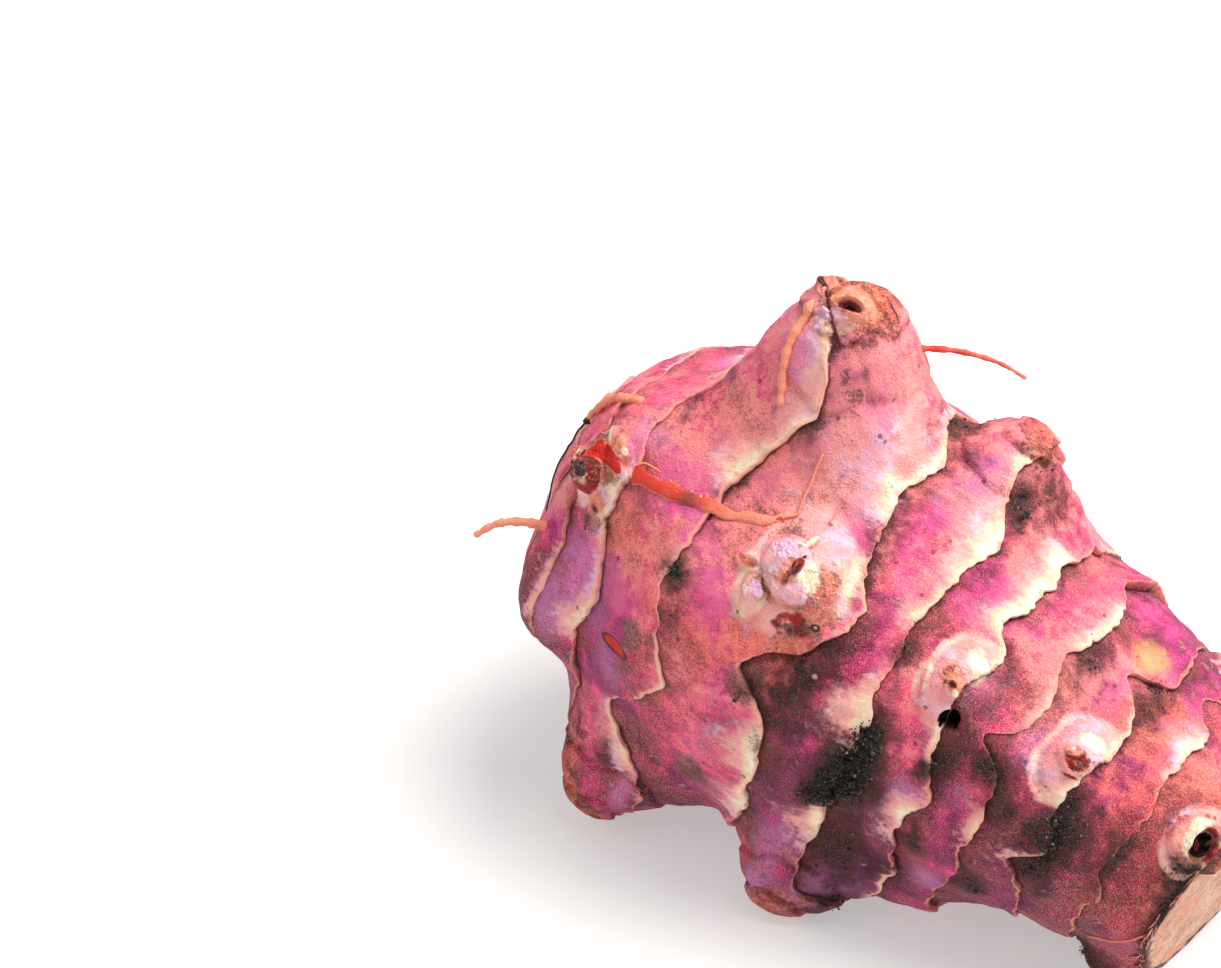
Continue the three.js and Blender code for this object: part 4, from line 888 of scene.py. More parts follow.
def dressed(skin, angle, scale, share, raggedness, ahead=0.0, drop=0.0):
    """Finished skin points with their facts, for arrays of places and their scales."""
    count = len(RIDGES) + 1
    ridges = [ridge_skin(k, angle, raggedness) for k in range(-1, count)]
    start = pick(ridges[:-1], scale)
    end = pick(ridges[1:], scale)
    depths = [step_depth(k, angle) for k in range(-1, count)]
    behind = pick(depths[:-1], scale)
    lip_depth = pick(depths[1:], scale)
    angle = np.broadcast_to(angle, skin.shape)
    to_lip = end - skin
    from_groove = skin - start
    last = scale == len(RIDGES)

    under, _, tangent, _ = round_body(skin, angle)
    plain = plain_skin(skin, angle)
    outward = outward_at(skin, angle)
    scales = scale_relief(plain, scale, share, behind, lip_depth, to_lip)
    relief = smooth(skin / FADE_IN) * (scales + lumps(skin, angle))
    relief = relief + knob_relief(under) + eye_relief(plain, skin)
    relief = relief - drop * (1 + LIP_SHARE) * lip_depth
    points = plain + outward * relief[..., None]
    points = points + tangent * (ahead * smooth(lip_depth / 0.5))[..., None]

    uneven = 0.3 + 1.5 * smooth((soft_noise(plain, 4.2, 83) - 0.15) / 0.7)
    pale, wash = (pick([pale_amount(k, to_lip, angle, reach * uneven) for k in range(count)], scale)
                  for reach in (PALE_BAND, PALE_WASH))
    facts = {
        "share": share,
        "lip": np.where(last, 0.0, np.exp(-to_lip / LIP_REACH)),
        "groove": np.where(scale == 0, 0.0, np.exp(-from_groove / GROOVE_REACH)),
        "step": behind / STEP_SHARE / 2.0,
        "fall": drop,
        "deep": tone_depth_and_painted_shade(skin, angle, points),
        "pale": pale,
        "wash": wash + mark_amount("faded", skin, angle),
        "tip": knob_tip(under),
        "rim": np.where(last, np.exp(-to_lip / RIM_REACH), 0.0),
        **eye_facts(plain, skin, scale, raggedness),
    }
    facts.update((kind, mark_amount(kind, skin, angle)) for kind in COLOUR_MARKS)
    facts = {key: np.broadcast_to(values, skin.shape) for key, values in facts.items()}
    return points, outward, facts


def grow_skin(columns, row_pitch, raggedness):
    """Rings of skin points from the bud end to the cut, what they are like, and their scales."""
    angle = column_angles(columns)
    rows = []
    for k in range(len(RIDGES) + 1):
        count = max(6, round(segment_reach(k) / row_pitch))
        rows.extend((k, share, 0.0, 0.0) for share in crowded_shares(count)[1 if k == 0 else 0:])
        rows.extend((k, 1.0, ahead, drop) for ahead, drop in (CURL if k < len(RIDGES) else ()))
    scale, share, ahead, drop = (np.array(values)[:, None] for values in zip(*rows))
    share = np.broadcast_to(share, (len(rows), columns))
    start = np.array([ridge_skin(k - 1, angle, raggedness) for k in scale[:, 0]])
    end = np.array([ridge_skin(k, angle, raggedness) for k in scale[:, 0]])
    skin = start + (end - start) * share
    points, outward, facts = dressed(skin, angle[None, :], scale, share, raggedness, ahead, drop)
    plain = plain_skin(skin, np.broadcast_to(angle, skin.shape))
    for patch in PATCHES:
        room = smooth((0.86 - patch_reach(patch, plain)) / 0.12)
        points -= outward * (PATCH_SINK * room)[..., None]
    flatten_cut(points, skin)
    return points, facts, scale[:, 0]


def raise_lobes(lobes, along, around, seed):
    """Height in mm and cover by each tissue where an eye's lobes lie over each other."""
    tissue = {kind: np.zeros(along.shape) for kind in TISSUES}
    height = np.zeros(along.shape)
    local = np.stack([along, around, np.zeros_like(along)], axis=-1)
    for index, row in enumerate(lobes):
        lobe = Lobe(*row)
        warp = 0.6 * soft_noise(local, 1.8, seed + 7 * index)
        warp = warp + 0.35 * soft_noise(local, 0.7, seed + 9 * index, True) - 0.475
        c, s = math.cos(math.radians(lobe.turn)), math.sin(math.radians(lobe.turn))
        x = ((along - lobe.along) * c + (around - lobe.round) * s) / lobe.length
        y = (-(along - lobe.along) * s + (around - lobe.round) * c) / lobe.width
        off = np.sqrt(x * x + y * y) + warp * min(0.8, 1.1 / lobe.width)
        inside = smooth((1.0 - off) / 0.16)
        crown = np.sqrt(np.clip(1 - off * off, 0.0, 1.0))
        profile = lobe.dome * crown + (1 - lobe.dome) * smooth((1.0 - off) / 0.3)
        rough = soft_noise(local, 0.55, seed + 3 + index)
        rough = rough + 0.6 * soft_noise(local, 0.28, seed + 5 + index) - 0.8
        raised = lobe.height * profile
        height = np.maximum(height, raised) if lobe.height > 0 else height + raised
        height = height + lobe.rough * rough * inside
        covered = lobe.cover * smooth((1.0 - off) / lobe.soft)
        for kind in TISSUES:
            tissue[kind] *= 1 - covered
        tissue[lobe.kind] += covered
    return height, tissue


def grow_patch(patch, raggedness, seed):
    """A round patch of fine skin with the lobes of an eye raised on it."""
    rings = round(patch.reach / PATCH_PITCH)
    spokes = round(rings * PATCH_SPOKES)
    reach, turn = np.meshgrid(np.arange(1, rings + 1) / rings, TURN * np.arange(spokes) / spokes,
                              indexing="ij")
    along = patch.reach * reach * np.cos(turn)
    around = patch.reach * reach * np.sin(turn)
    radius = profile_at(np.array(float(patch.skin)))[1]
    skin = np.minimum(patch.skin + along, CUT_SKIN - 0.6)
    angle = patch.angle + np.degrees(around / radius)
    ridges = np.array([ridge_skin(k, angle, raggedness) for k in range(len(RIDGES) + 1)])
    scale = (skin[None] > ridges).sum(axis=0)
    start = pick([ridge_skin(k - 1, angle, raggedness) for k in range(len(RIDGES) + 1)], scale)
    end = pick(ridges, scale)
    share = np.clip((skin - start) / (end - start), 0.0, 1.0)
    points, outward, facts = dressed(skin, angle, scale, share, raggedness)
    height, tissue = raise_lobes(LOBES[patch.lobes], along, around, seed)
    border = smooth((reach - 0.9) / 0.1)
    points = points + outward * (height * (1 - border) + 0.04 - 0.35 * border)[..., None]
    for kind, amount in tissue.items():
        facts[kind + "_tissue"] = amount * (1 - border)
    centre = points[0].mean(axis=0)
    return points, centre, facts


def ring_faces(rings, columns):
    """Quads between rings of points laid out one ring after another."""
    ring, column = np.meshgrid(np.arange(rings - 1), np.arange(columns), indexing="ij")
    a = ring * columns + column
    b = ring * columns + (column + 1) % columns
    return np.stack([a, b, b + columns, a + columns], axis=-1).reshape(-1, 4)


def fan(centre, first, sides, outwards=True):
    """Triangles between a ring of points and a point at its middle."""
    for j in range(sides):
        k = (j + 1) % sides
        yield (centre, first + k, first + j) if outwards else (centre, first + j, first + k)


def mesh_piece(name, points, faces, facts, material):
    """Makes a smooth mesh object that rides on the tuber's body."""
    mesh = bpy.data.meshes.new(name)
    mesh.from_pydata(points.tolist(), [], faces)
    for key, values in facts.items():
        layer = mesh.attributes.new(key, "FLOAT", "POINT")
        layer.data.foreach_set("value", np.asarray(values, dtype=np.float32).ravel())
    mesh.shade_smooth()
    mesh.update()
    mesh.materials.append(material)
    piece = bpy.data.objects.new(name, mesh)
    bpy.context.scene.collection.objects.link(piece)
    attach(piece, BODY)
    return piece


class SkinMap:
    """Finds the finished skin's point and normal over a place given by skin and angle."""

    def __init__(self, points):
        across = np.roll(points, -1, axis=1) - np.roll(points, 1, axis=1)
        along = np.gradient(points, axis=0)
        normals = np.cross(across, along)
        self.points = points.reshape(-1, 3)
        lengths = np.linalg.norm(normals, axis=-1, keepdims=True)
        self.normals = (normals / np.maximum(lengths, 1e-9)).reshape(-1, 3)

    def at(self, skin, angle, spread=0.9):
        """The skin's nearest point and its outward, evened over a spread in mm."""
        target = plain_skin(skin, angle)
        distance = np.linalg.norm(self.points - target, axis=-1)
        nearest = self.points[np.argmin(distance)]
        weight = np.exp(-(np.linalg.norm(self.points - nearest, axis=-1) / spread) ** 2)
        normal = unit((self.normals * weight[:, None]).sum(axis=0))
        outward = outward_at(np.array(float(skin)), np.array(float(angle)))
        return nearest, unit(normal + outward)


@lru_cache(maxsize=1)
def grown(columns, row_pitch, raggedness):
    """The grown skin, its facts, its scales and the map of it, made once."""
    points, facts, scale = grow_skin(columns, row_pitch, raggedness)
    return points, facts, scale, SkinMap(points)


def grown_for(settings):
    """The grown skin for the scene's settings."""
    return grown(settings.columns, settings.row_pitch, settings.raggedness)


def smooth_path(stops, pitch):
    """Points on a Catmull-Rom curve through the stops, about a pitch apart."""
    stops = np.asarray(stops, dtype=float)
    if len(stops) == 1:
        return stops
    padded = np.vstack([2 * stops[0] - stops[1], stops, 2 * stops[-1] - stops[-2]])
    path = []
    for i in range(len(stops) - 1):
        p0, p1, p2, p3 = padded[i:i + 4]
        count = max(2, math.ceil(np.linalg.norm(p2 - p1) / pitch))
        for t in np.arange(count) / count:
            path.append(0.5 * (2 * p1 + (p2 - p0) * t + (2 * p0 - 5 * p1 + 4 * p2 - p3) * t ** 2
                               + (3 * p1 - p0 - 3 * p2 + p3) * t ** 3))
    path.append(stops[-1])
    return np.array(path)


def tube(path, radii, lying, flatness=1.0, sides=ROOTLET_SIDES):
    """A closed tube along a path; lying is the direction that it is flattened in."""
    ahead = unit(np.gradient(path, axis=0))
    depth = unit(lying - ahead * np.sum(lying * ahead, axis=-1, keepdims=True))
    width = np.cross(ahead, depth)
    turn = TURN * np.arange(sides) / sides
    ring = (np.cos(turn)[None, :, None] * width[:, None, :]
            + flatness * np.sin(turn)[None, :, None] * depth[:, None, :])
    rings = path[:, None, :] + ring * radii[:, None, None]
    points = np.vstack([rings.reshape(-1, 3), path[:1], path[-1:] + ahead[-1:] * radii[-1] * 0.6])
    faces = ring_faces(len(path), sides).tolist()
    faces.extend(fan(len(points) - 2, 0, sides))
    faces.extend(fan(len(points) - 1, (len(path) - 1) * sides, sides, False))
    return points, faces


class Heap:
    """Gathers small closed forms and their facts into one mesh."""

    def __init__(self):
        self.points = []
        self.faces = []
        self.facts = {}
        self.count = 0

    def add(self, points, faces, **facts):
        """Adds a form, with each fact one number or one for every point."""
        self.faces.extend(tuple(int(i) + self.count for i in face) for face in faces)
        self.points.append(points)
        self.count += len(points)
        for key, value in facts.items():
            spread = np.broadcast_to(np.asarray(value, dtype=float), (len(points),))
            self.facts.setdefault(key, []).append(spread)

    def piece(self, name, material, slot):
        """Makes the gathered forms one object."""
        facts = {key: np.concatenate(values) for key, values in self.facts.items()}
        points = to_frame(np.vstack(self.points))
        return mesh_piece(name, points, self.faces, facts, material)


def srgb(red, green, blue):
    """A colour given as 0 to 255 in sRGB, as Blender's linear values."""
    def linear(c):
        c /= 255.0
        return c / 12.92 if c <= 0.04045 else ((c + 0.055) / 1.055) ** 2.4
    return (linear(red), linear(green), linear(blue))


def as_colour(value):
    """A colour with its alpha."""
    return (*value, 1.0) if len(value) == 3 else tuple(value)


class Signal:
    """A number that varies over a surface. Arithmetic on it adds Math nodes to its shader."""

    def __init__(self, shader, socket):
        self.shader = shader
        self.socket = socket

    def __add__(self, other):
        return self.shader.math("ADD", self, other)

    def __radd__(self, other):
        return self.shader.math("ADD", other, self)

    def __sub__(self, other):
        return self.shader.math("SUBTRACT", self, other)

    def __rsub__(self, other):
        return self.shader.math("SUBTRACT", other, self)

    def __mul__(self, other):
        return self.shader.math("MULTIPLY", self, other)

    def __rmul__(self, other):
        return self.shader.math("MULTIPLY", other, self)

    def clamped(self):
        return self.shader.math("ADD", self, 0.0, clamp=True)

    def rise(self, low, high):
        """Smooth step from 0 at low to 1 at high."""
        node = self.shader.node("ShaderNodeMapRange", {"interpolation_type": "SMOOTHSTEP"},
                                {"Value": self, "From Min": low, "From Max": high})
        return Signal(self.shader, node.outputs["Result"])


class Shader:
    """One material, with its nodes and a colour that is laid on in layers."""

    def __init__(self, name, colour):
        self.colour = colour
        self.material = bpy.data.materials.new(name)
        self.material.use_nodes = True
        self.tree = self.material.node_tree
        self.tree.nodes.clear()
        place = self.node("ShaderNodeTexCoord")
        self.place = self.vector("SCALE", place.outputs["Object"], {"Scale": 1.0 / MM})

    def node(self, kind, settings=None, inputs=None):
        """Adds a node: its settings first, then the values or links of its sockets."""
        node = self.tree.nodes.new(kind)
        for key, value in (settings or {}).items():
            setattr(node, key, value)
        for key, value in (inputs or {}).items():
            self.feed(node.inputs[key], value)
        return node

    def feed(self, socket, value):
        """Links a socket, or sets its value."""
        if isinstance(value, Signal):
            value = value.socket
        if isinstance(value, bpy.types.NodeSocket):
            self.tree.links.new(value, socket)
        elif socket.type == "RGBA":
            socket.default_value = as_colour(value)
        else:
            socket.default_value = value

    def math(self, operation, first, second, clamp=False):
        """A Math node on two numbers."""
        node = self.node("ShaderNodeMath", {"operation": operation, "use_clamp": clamp},
                         {0: first, 1: second})
        return Signal(self, node.outputs[0])

    def vector(self, operation, first, others):
        """A Vector Math node."""
        node = self.node("ShaderNodeVectorMath", {"operation": operation}, {0: first, **others})
        return node.outputs[0]

    def mix(self, amount, first, second):
        """A colour between two colours."""
        node = self.node("ShaderNodeMix", {"data_type": "RGBA"}, {0: amount, 6: first, 7: second})
        return node.outputs[2]

    def lay(self, amount, colour):
        """Lays a colour over what is there."""
        self.colour = self.mix(amount, self.colour, colour)

    def fact(self, name):
        """A number kept at the mesh's points."""
        node = self.node("ShaderNodeAttribute", {"attribute_name": name})
        return Signal(self, node.outputs["Fac"])

    def noise(self, size, detail, roughness=0.5, shift=0.0, stretch=None):
        """Soft noise of a size in millimetres, spread to about 0 to 1."""
        place = self.place
        if stretch or shift:
            place = self.vector("MULTIPLY_ADD", place, {1: stretch or (1, 1, 1), 2: (shift,) * 3})
        node = self.node("ShaderNodeTexNoise", None, {"Vector": place, "Scale": 1.0 / size,
                                                      "Detail": detail, "Roughness": roughness})
        return (Signal(self, node.outputs["Fac"]) - 0.5) * 1.8 + 0.5

    def cells(self, size):
        """Distance to the middle of the nearest of scattered cells, about 0 to 1."""
        node = self.node("ShaderNodeTexVoronoi", {"feature": "F1"},
                         {"Vector": self.place, "Scale": 1.0 / size})
        return Signal(self, node.outputs["Distance"])

    def bump(self, height, strength=1.0):
        """Relief from a height in millimetres."""
        node = self.node("ShaderNodeBump", None,
                         {"Height": height, "Distance": MM, "Strength": strength})
        return node.outputs["Normal"]

    def surface(self, roughness, normal, **uniform):
        """Ends the material in a Principled shader; uniform values name its other sockets."""
        shader = self.node("ShaderNodeBsdfPrincipled", None,
                           {"Base Color": self.colour, "Roughness": roughness, "Normal": normal,
                            **{key.replace("_", " "): value for key, value in uniform.items()}})
        self.node("ShaderNodeOutputMaterial", None, {"Surface": shader.outputs["BSDF"]})
        return self.material


class SkinShader(Shader):
    """Pink skin with painted shade in the grooves and low on the body, bleached lips, corky eyes,
    coloured patches and dirt.
    """

    def __init__(self, look):
        super().__init__("tuber_skin", look.salmon)
        self.look = look
        self.broad = self.noise(14.0, 2.0)
        self.cloud = self.noise(6.5, 3.0, 0.6, 150.0)
        self.blaze = self.noise(5.5, 3.0, 0.6, 210.0)
        self.patch = self.noise(4.5, 3.0, 0.5, 40.0)
        self.blotch = self.noise(1.9, 3.0, 0.6, 90.0)
        self.streak = self.noise(0.9, 3.0, 0.6, stretch=(0.25, 1.0, 1.0))
        self.fleck = self.noise(0.7, 3.0, 0.65)
        self.grain = self.noise(0.24, 2.0, 0.8)
        self.grit = self.noise(0.11, 1.0, 0.7, 7.0)
        self.groove = self.fact("groove")
        self.step = self.fact("step")
        self.halo = self.fact("halo")
        self.rag = self.uneven(blotch=0.4, fleck=0.3, streak=0.3)
        self.washed = self.mix(self.mottled(patch=0.6, blotch=0.4).rise(0.5, 0.72), look.blush,
                               look.lilac_light)

    def mottled(self, **weights):
        """Noises of the skin added up by weight."""
        total = 0.0
        for name, weight in weights.items():
            total = total + weight * getattr(self, name)
        return total

    def uneven(self, **weights):
        """Noises of the skin added up by weight, as much below 0 as above it."""
        return self.mottled(**weights) - 0.5 * sum(weights.values())

    def lay_ground(self):
        """Salmon high up to mauve low down, partly the skin's own tone and partly painted shade, with
        reddish and violet patches that deepen the same way.
        """
        look = self.look
        tone = self.fact("deep") + self.uneven(broad=0.45, patch=0.8, blotch=0.65, fleck=0.3)
        self.lay(tone.rise(0.0, 0.35), look.pink)
        self.lay(tone.rise(0.3, 0.65), look.magenta)
        self.lay(tone.rise(0.6, 1.05), look.mauve)
        # Reddish patches go from coral to brick, and violet ones from bright to deep, as the tone
        # deepens: partly their own colour, partly painted shade lower down.
        red = (self.fact("red") + self.uneven(blaze=0.9, blotch=0.4)).rise(0.05, 0.75)
        self.lay(red * 0.7, self.mix(tone.rise(0.1, 0.8), look.coral, look.brick))
        violet = 0.8 * self.fact("violet") + self.cloud + self.uneven(blotch=0.5)
        violet = violet.rise(0.52, 0.98)
        self.lay(violet * 0.62, self.mix(tone.rise(0.2, 0.9), look.violet, look.violet_deep))
        return violet

    def lay_washes(self):
        """Painted purple shade in the grooves, lilac patches and skin that pales towards the lips."""
        # Painted shade: the grooves darken to purple behind each step, more behind deep steps and
        # lower on the body.
        shade = self.groove * (0.4 + 0.6 * self.step + self.uneven(patch=0.6, blotch=0.5))
        shade = shade * (0.5 + self.fact("deep")).clamped()
        self.lay(shade.rise(0.05, 0.85) * 0.85, self.look.painted_groove_shade)
        lilac = (self.fact("lilac") + self.uneven(patch=0.5, blotch=0.45)).rise(0.25, 0.95)
        self.lay(lilac * 0.65, self.look.lilac)
        wash = self.fact("wash") + 0.9 * self.halo + 0.7 * self.fact("bed") + self.rag
        wash = (wash + 0.3 * self.fact("share")).rise(0.45, 1.3)
        self.lay(wash * 0.65, self.washed)

    def lay_specks(self, violet):
        """Rubbed dust, pale and dark specks and painted shadow low under the scales."""
        look = self.look
        rubbed = 1.0 - self.cloud + 0.3 * self.groove + self.uneven(blotch=0.3)
        tan = (rubbed + self.uneven(fleck=0.8, grain=0.5)).rise(0.55, 1.0)
        self.lay(tan * 0.6, look.dust)
        speckled = 1.0 - 0.5 * violet
        dots = self.cells(0.17).rise(0.5, 0.15) * (0.2 + 0.8 * self.fleck)
        self.lay((dots * 0.55 + self.grit.rise(0.55, 0.85) * 0.3) * speckled, look.speck)
        # Painted shadow at the listed marks, made patchy.
        gloom = self.fact("gloom") * (0.2 + self.mottled(blotch=1.0, fleck=0.6))
        self.lay(gloom.rise(0.1, 0.9) * 0.8, look.gloom)
        nicks = (self.mottled(grain=0.7, fleck=0.3) + 0.45 * (rubbed - 0.55)).rise(0.64, 0.84)
        self.lay(nicks * 0.3, look.soil_stain)
        self.lay(self.grit.rise(0.48, 0.2) * 0.4 * speckled, look.mauve)

    def lay_lips(self):
        """The bleached edges of the scales, near white at their palest as a painted highlight, and
        their thin corky rims.
        """
        look = self.look
        bleached = (self.fact("pale") + 0.6 * self.halo + self.rag).clamped()
        self.lay(bleached.rise(0.1, 0.4) * 0.75, self.washed)
        self.lay(bleached.rise(0.36, 0.72) * (0.85 + self.uneven(fleck=0.3)), look.cream)
        # The palest cores of the bleached edges turn near white: partly bleached skin, partly painted
        # highlight.
        self.lay(bleached.rise(0.62, 0.95) * 0.85, look.ivory_and_highlight)
        rim = (self.fact("lip") + self.uneven(blotch=0.6, fleck=0.25)).rise(0.84, 1.0)
        self.lay(rim * 0.6, self.mix(self.fleck.rise(0.45, 0.75), look.lip, look.cork))
        return bleached

    def cork_colour(self):
        """Rust to cork, with dark cracks and pale flakes."""
        look = self.look
        cork = self.mix(self.fleck.rise(0.3, 0.7), look.rust, look.cork)
        cracks = self.mottled(grain=0.3, fleck=0.3, blotch=0.4).rise(0.46, 0.62)
        flakes = self.mottled(grit=0.5, fleck=0.5).rise(0.6, 0.8)
        return self.mix(flakes * 0.5, self.mix(cracks, cork, look.cork_dark), look.cream)

    def lay_cork(self, cork_colour):
        """Cork round the eyes and on the knobs' tips, with a dark collar below a tip."""
        tip = self.fact("tip")
        cork = self.fact("cork") + 0.8 * self.fact("stain") + 0.55 * tip.rise(0.74, 1.0)
        cork = (cork + self.uneven(blotch=0.7, fleck=0.6)).rise(0.42, 0.8)
        self.lay(cork * 0.75, cork_colour)
        collar = tip + self.uneven(blotch=0.03)
        collar = (collar.rise(0.8, 0.83) - collar.rise(0.84, 0.88)) * self.blotch.rise(0.3, 0.6)
        self.lay(collar * 0.7, self.look.cork_dark)
        return cork

    def lay_marks(self):
        """Amber and grey rubs, scars and small dark spots."""
        look = self.look
        amber = (self.fact("amber") + self.uneven(blotch=0.9, fleck=0.3)).rise(0.3, 1.1)
        self.lay(amber * (0.75 + self.uneven(fleck=0.4)), look.amber)
        grey = (self.fact("grey") + self.uneven(blotch=0.9, grain=0.7)).rise(0.35, 0.9)
        self.lay(grey * 0.75, self.mix(self.grain.rise(0.4, 0.75), look.scab, look.soil_stain))
        scar = self.fact("scar") + self.uneven(fleck=0.25)
        self.lay(scar.rise(0.25, 0.5), look.cork_dark)
        self.lay(scar.rise(0.55, 0.8), self.mix(0.5 + 0.5 * self.fleck, look.rust, look.root_red))
        spots = self.cells(2.3).rise(0.15, 0.09) * self.blotch.rise(0.45, 0.6)
        self.lay(spots * 0.7, look.cork_dark)

    def tissue_colours(self, cork_colour):
        """What the lobes of an eye are made of."""
        look = self.look
        soft = self.mottled(blotch=0.5, fleck=0.5)
        crust = self.mottled(fleck=0.6, grit=0.4)
        brown = self.mix(soft.rise(0.35, 0.6), look.brick, look.cork_dark)
        burnt = self.mottled(patch=0.4, fleck=0.6).rise(0.5, 0.72)
        brown = self.mix(burnt * 0.7, brown, look.soil_dark)
        dark = self.mix(crust.rise(0.35, 0.7), look.soil_dark, look.cork_dark)
        return {
            "cream": self.mix(soft.rise(0.3, 0.6), look.cream, look.ivory_and_highlight),
            "blush": self.mix(soft.rise(0.35, 0.7), look.blush, look.lilac_light),
            "lilac": self.mix(self.mottled(blotch=0.7, fleck=0.3).rise(0.45, 0.8) * 0.6,
                              look.lilac_light, look.lilac),
            "orange": self.mix(self.mottled(blotch=0.6, fleck=0.4).rise(0.3, 0.62), look.blush,
                               look.cork),
            "rust": cork_colour,
            "red": self.mix(crust.rise(0.5, 0.8) * 0.7, look.root_red, look.brick),
            "brown": self.mix(self.mottled(grain=0.5, fleck=0.5).rise(0.55, 0.75) * 0.5, brown,
                              look.cork),
            # Slate grains over the dark tissue: partly grey grains, partly a painted sheen.
            "dark": self.mix(self.grit.rise(0.55, 0.75) * 0.7, dark, look.slate_and_sheen),
            "hole": look.hole,
        }

    def lay_tissues(self, cork_colour):
        """The lobes of the eyes; gives how much of the skin they cover."""
        # Pits start out covered: their near-black colour is painted shade inside the hollow.
        hidden = self.fact("hole_tissue")
        for kind, colour in self.tissue_colours(cork_colour).items():
            amount = self.fact(kind + "_tissue")
            covered = (amount + self.uneven(fleck=0.4, blotch=0.3)).rise(0.25, 0.75)
            covered = covered * amount.rise(0.0, 0.2)
            hidden = hidden + covered
            self.lay(covered, colour)
        return hidden.clamped()

    def lay_soil(self, bleached, hidden):
        """Soil stains, tan grains and dark clods, most of all in the grooves; the dark line under
        each lip and the darkening of the grooves and the lips' undersides are partly soil and partly
        painted shade.
        """
        look = self.look
        # Dark line along the groove just under each lip, deeper behind tall steps: partly soil,
        # partly painted shade.
        line = self.groove.rise(0.8, 0.98) * (0.3 + self.step) + self.uneven(blotch=1.3)
        self.lay(line.rise(0.3, 1.0) * 0.65, look.soil_stain)
        # The grooves and the undersides of the lips' curls are darkened: partly soil, partly painted
        # shade.
        dirt = (0.3 * self.groove + 0.25 * self.fact("fall")) * (0.35 + self.step)
        dirt = dirt + self.fact("soil") + 1.1 * self.fact("rim")
        dirt = dirt + self.uneven(blotch=0.85, patch=0.6)
        dirt = dirt * (1.0 - 0.8 * hidden) * (1.0 - 0.75 * bleached.rise(0.15, 0.5))
        stain = dirt.rise(0.05, 1.0)
        self.lay(stain * 0.7, look.soil_stain)
        black = (dirt + self.uneven(blotch=0.8)).rise(1.05, 1.7)
        self.lay(black * 0.85, look.soil_dark)
        grains = self.mottled(grain=0.55, grit=0.45).rise(0.5, 0.72)
        self.lay(dirt.rise(0.0, 0.9) * grains * 0.36, look.soil_tan)
        clod = dirt.clamped() * 0.75 + self.mottled(grain=0.95, grit=0.6)
        clod = clod.rise(1.42, 1.64)
        crumbly = self.mix(self.mottled(grit=0.5, fleck=0.5).rise(0.3, 0.65), look.soil_dark,
                           look.soil)
        self.lay(clod * 0.85, self.mix(self.grit.rise(0.55, 0.8) * 0.8, crumbly, look.soil_tan))
        return stain, clod


def skin_material(look):
    """The skin's layers from the ground up, with relief and shine to match."""
    skin = SkinShader(look)
    violet = skin.lay_ground()
    skin.lay_washes()
    skin.lay_specks(violet)
    bleached = skin.lay_lips()
    cork_colour = skin.cork_colour()
    cork = skin.lay_cork(cork_colour)
    skin.lay_marks()
    hidden = skin.lay_tissues(cork_colour)
    stain, clod = skin.lay_soil(bleached, hidden)
    height = skin.mottled(grit=0.05, grain=0.10, fleck=0.12, streak=0.07, blotch=0.14)
    height = height + 0.2 * clod * skin.grain + 0.35 * cork * skin.fleck
    roughness = (0.5 + 0.14 * skin.fleck + 0.3 * clod + 0.2 * cork + 0.12 * stain).clamped()
    return skin.surface(roughness, skin.bump(height, 0.9),
                        Specular_IOR_Level=0.18, Subsurface_Weight=0.05,
                        Subsurface_Radius=(1.0, 0.35, 0.25), Subsurface_Scale=0.001)


def flesh_material(look):
    """Dull pinkish flesh of the cut, dirty and fibrous, with a darker ring under the skin."""
    shader = Shader("cut_flesh", look.flesh)
    patch = shader.noise(3.0, 3.0)
    fleck = shader.noise(0.7, 3.0, 0.6)
    grain = shader.noise(0.22, 2.0, 0.7)
    edge = shader.fact("edge")
    shader.lay((0.6 * patch + 0.4 * fleck).rise(0.3, 0.75), look.flesh_dry)
    shader.lay((0.5 * fleck + 0.5 * grain).rise(0.5, 0.75) * 0.45, look.dust)
    shader.lay(grain.rise(0.45, 0.2) * 0.5, look.cream)
    ring = edge + 0.05 * (patch - 0.5)
    shader.lay((ring.rise(0.78, 0.86) - ring.rise(0.88, 0.93)).clamped() * 0.35, look.cork)
    bruise = shader.noise(6.0, 2.0, shift=30.0).rise(0.58, 0.75)
    shader.lay(bruise * 0.4, look.cork)
    dirty_edge = edge + 0.06 * (fleck - 0.5)
    shader.lay(dirty_edge.rise(0.92, 0.985) * 0.9, look.soil_stain)
    height = 0.10 * grain + 0.12 * fleck + 0.15 * patch
    return shader.surface(0.66 + 0.12 * fleck, shader.bump(height, 0.8),
                          Specular_IOR_Level=0.3, Subsurface_Weight=0.08,
                          Subsurface_Radius=(1.0, 0.5, 0.3), Subsurface_Scale=0.0015)


def rootlet_material(look):
    """Red to salmon rootlets with pale frayed edges and dark dry ends."""
    shader = Shader("rootlet_fibre", look.root_red)
    patch = shader.noise(1.6, 3.0)
    grain = shader.noise(0.25, 2.0, 0.7)
    dry = shader.fact("dry")
    shader.lay((shader.fact("tone") + 0.3 * (patch - 0.5)).rise(0.2, 0.75), look.root_salmon)
    shader.lay((shader.fact("fray") + 0.3 * (grain - 0.5)).rise(0.4, 0.9), look.cream)
    shader.lay(dry.rise(0.1, 0.4), look.cork_dark)
    shader.lay((dry + 0.5 * (patch - 0.5)).rise(0.35, 0.7), look.soil_dark)
    shader.lay((0.5 * patch + 0.5 * grain).rise(0.6, 0.85) * 0.5, look.rust)
    return shader.surface(0.5 + 0.15 * grain, shader.bump(0.1 * grain + 0.12 * patch))


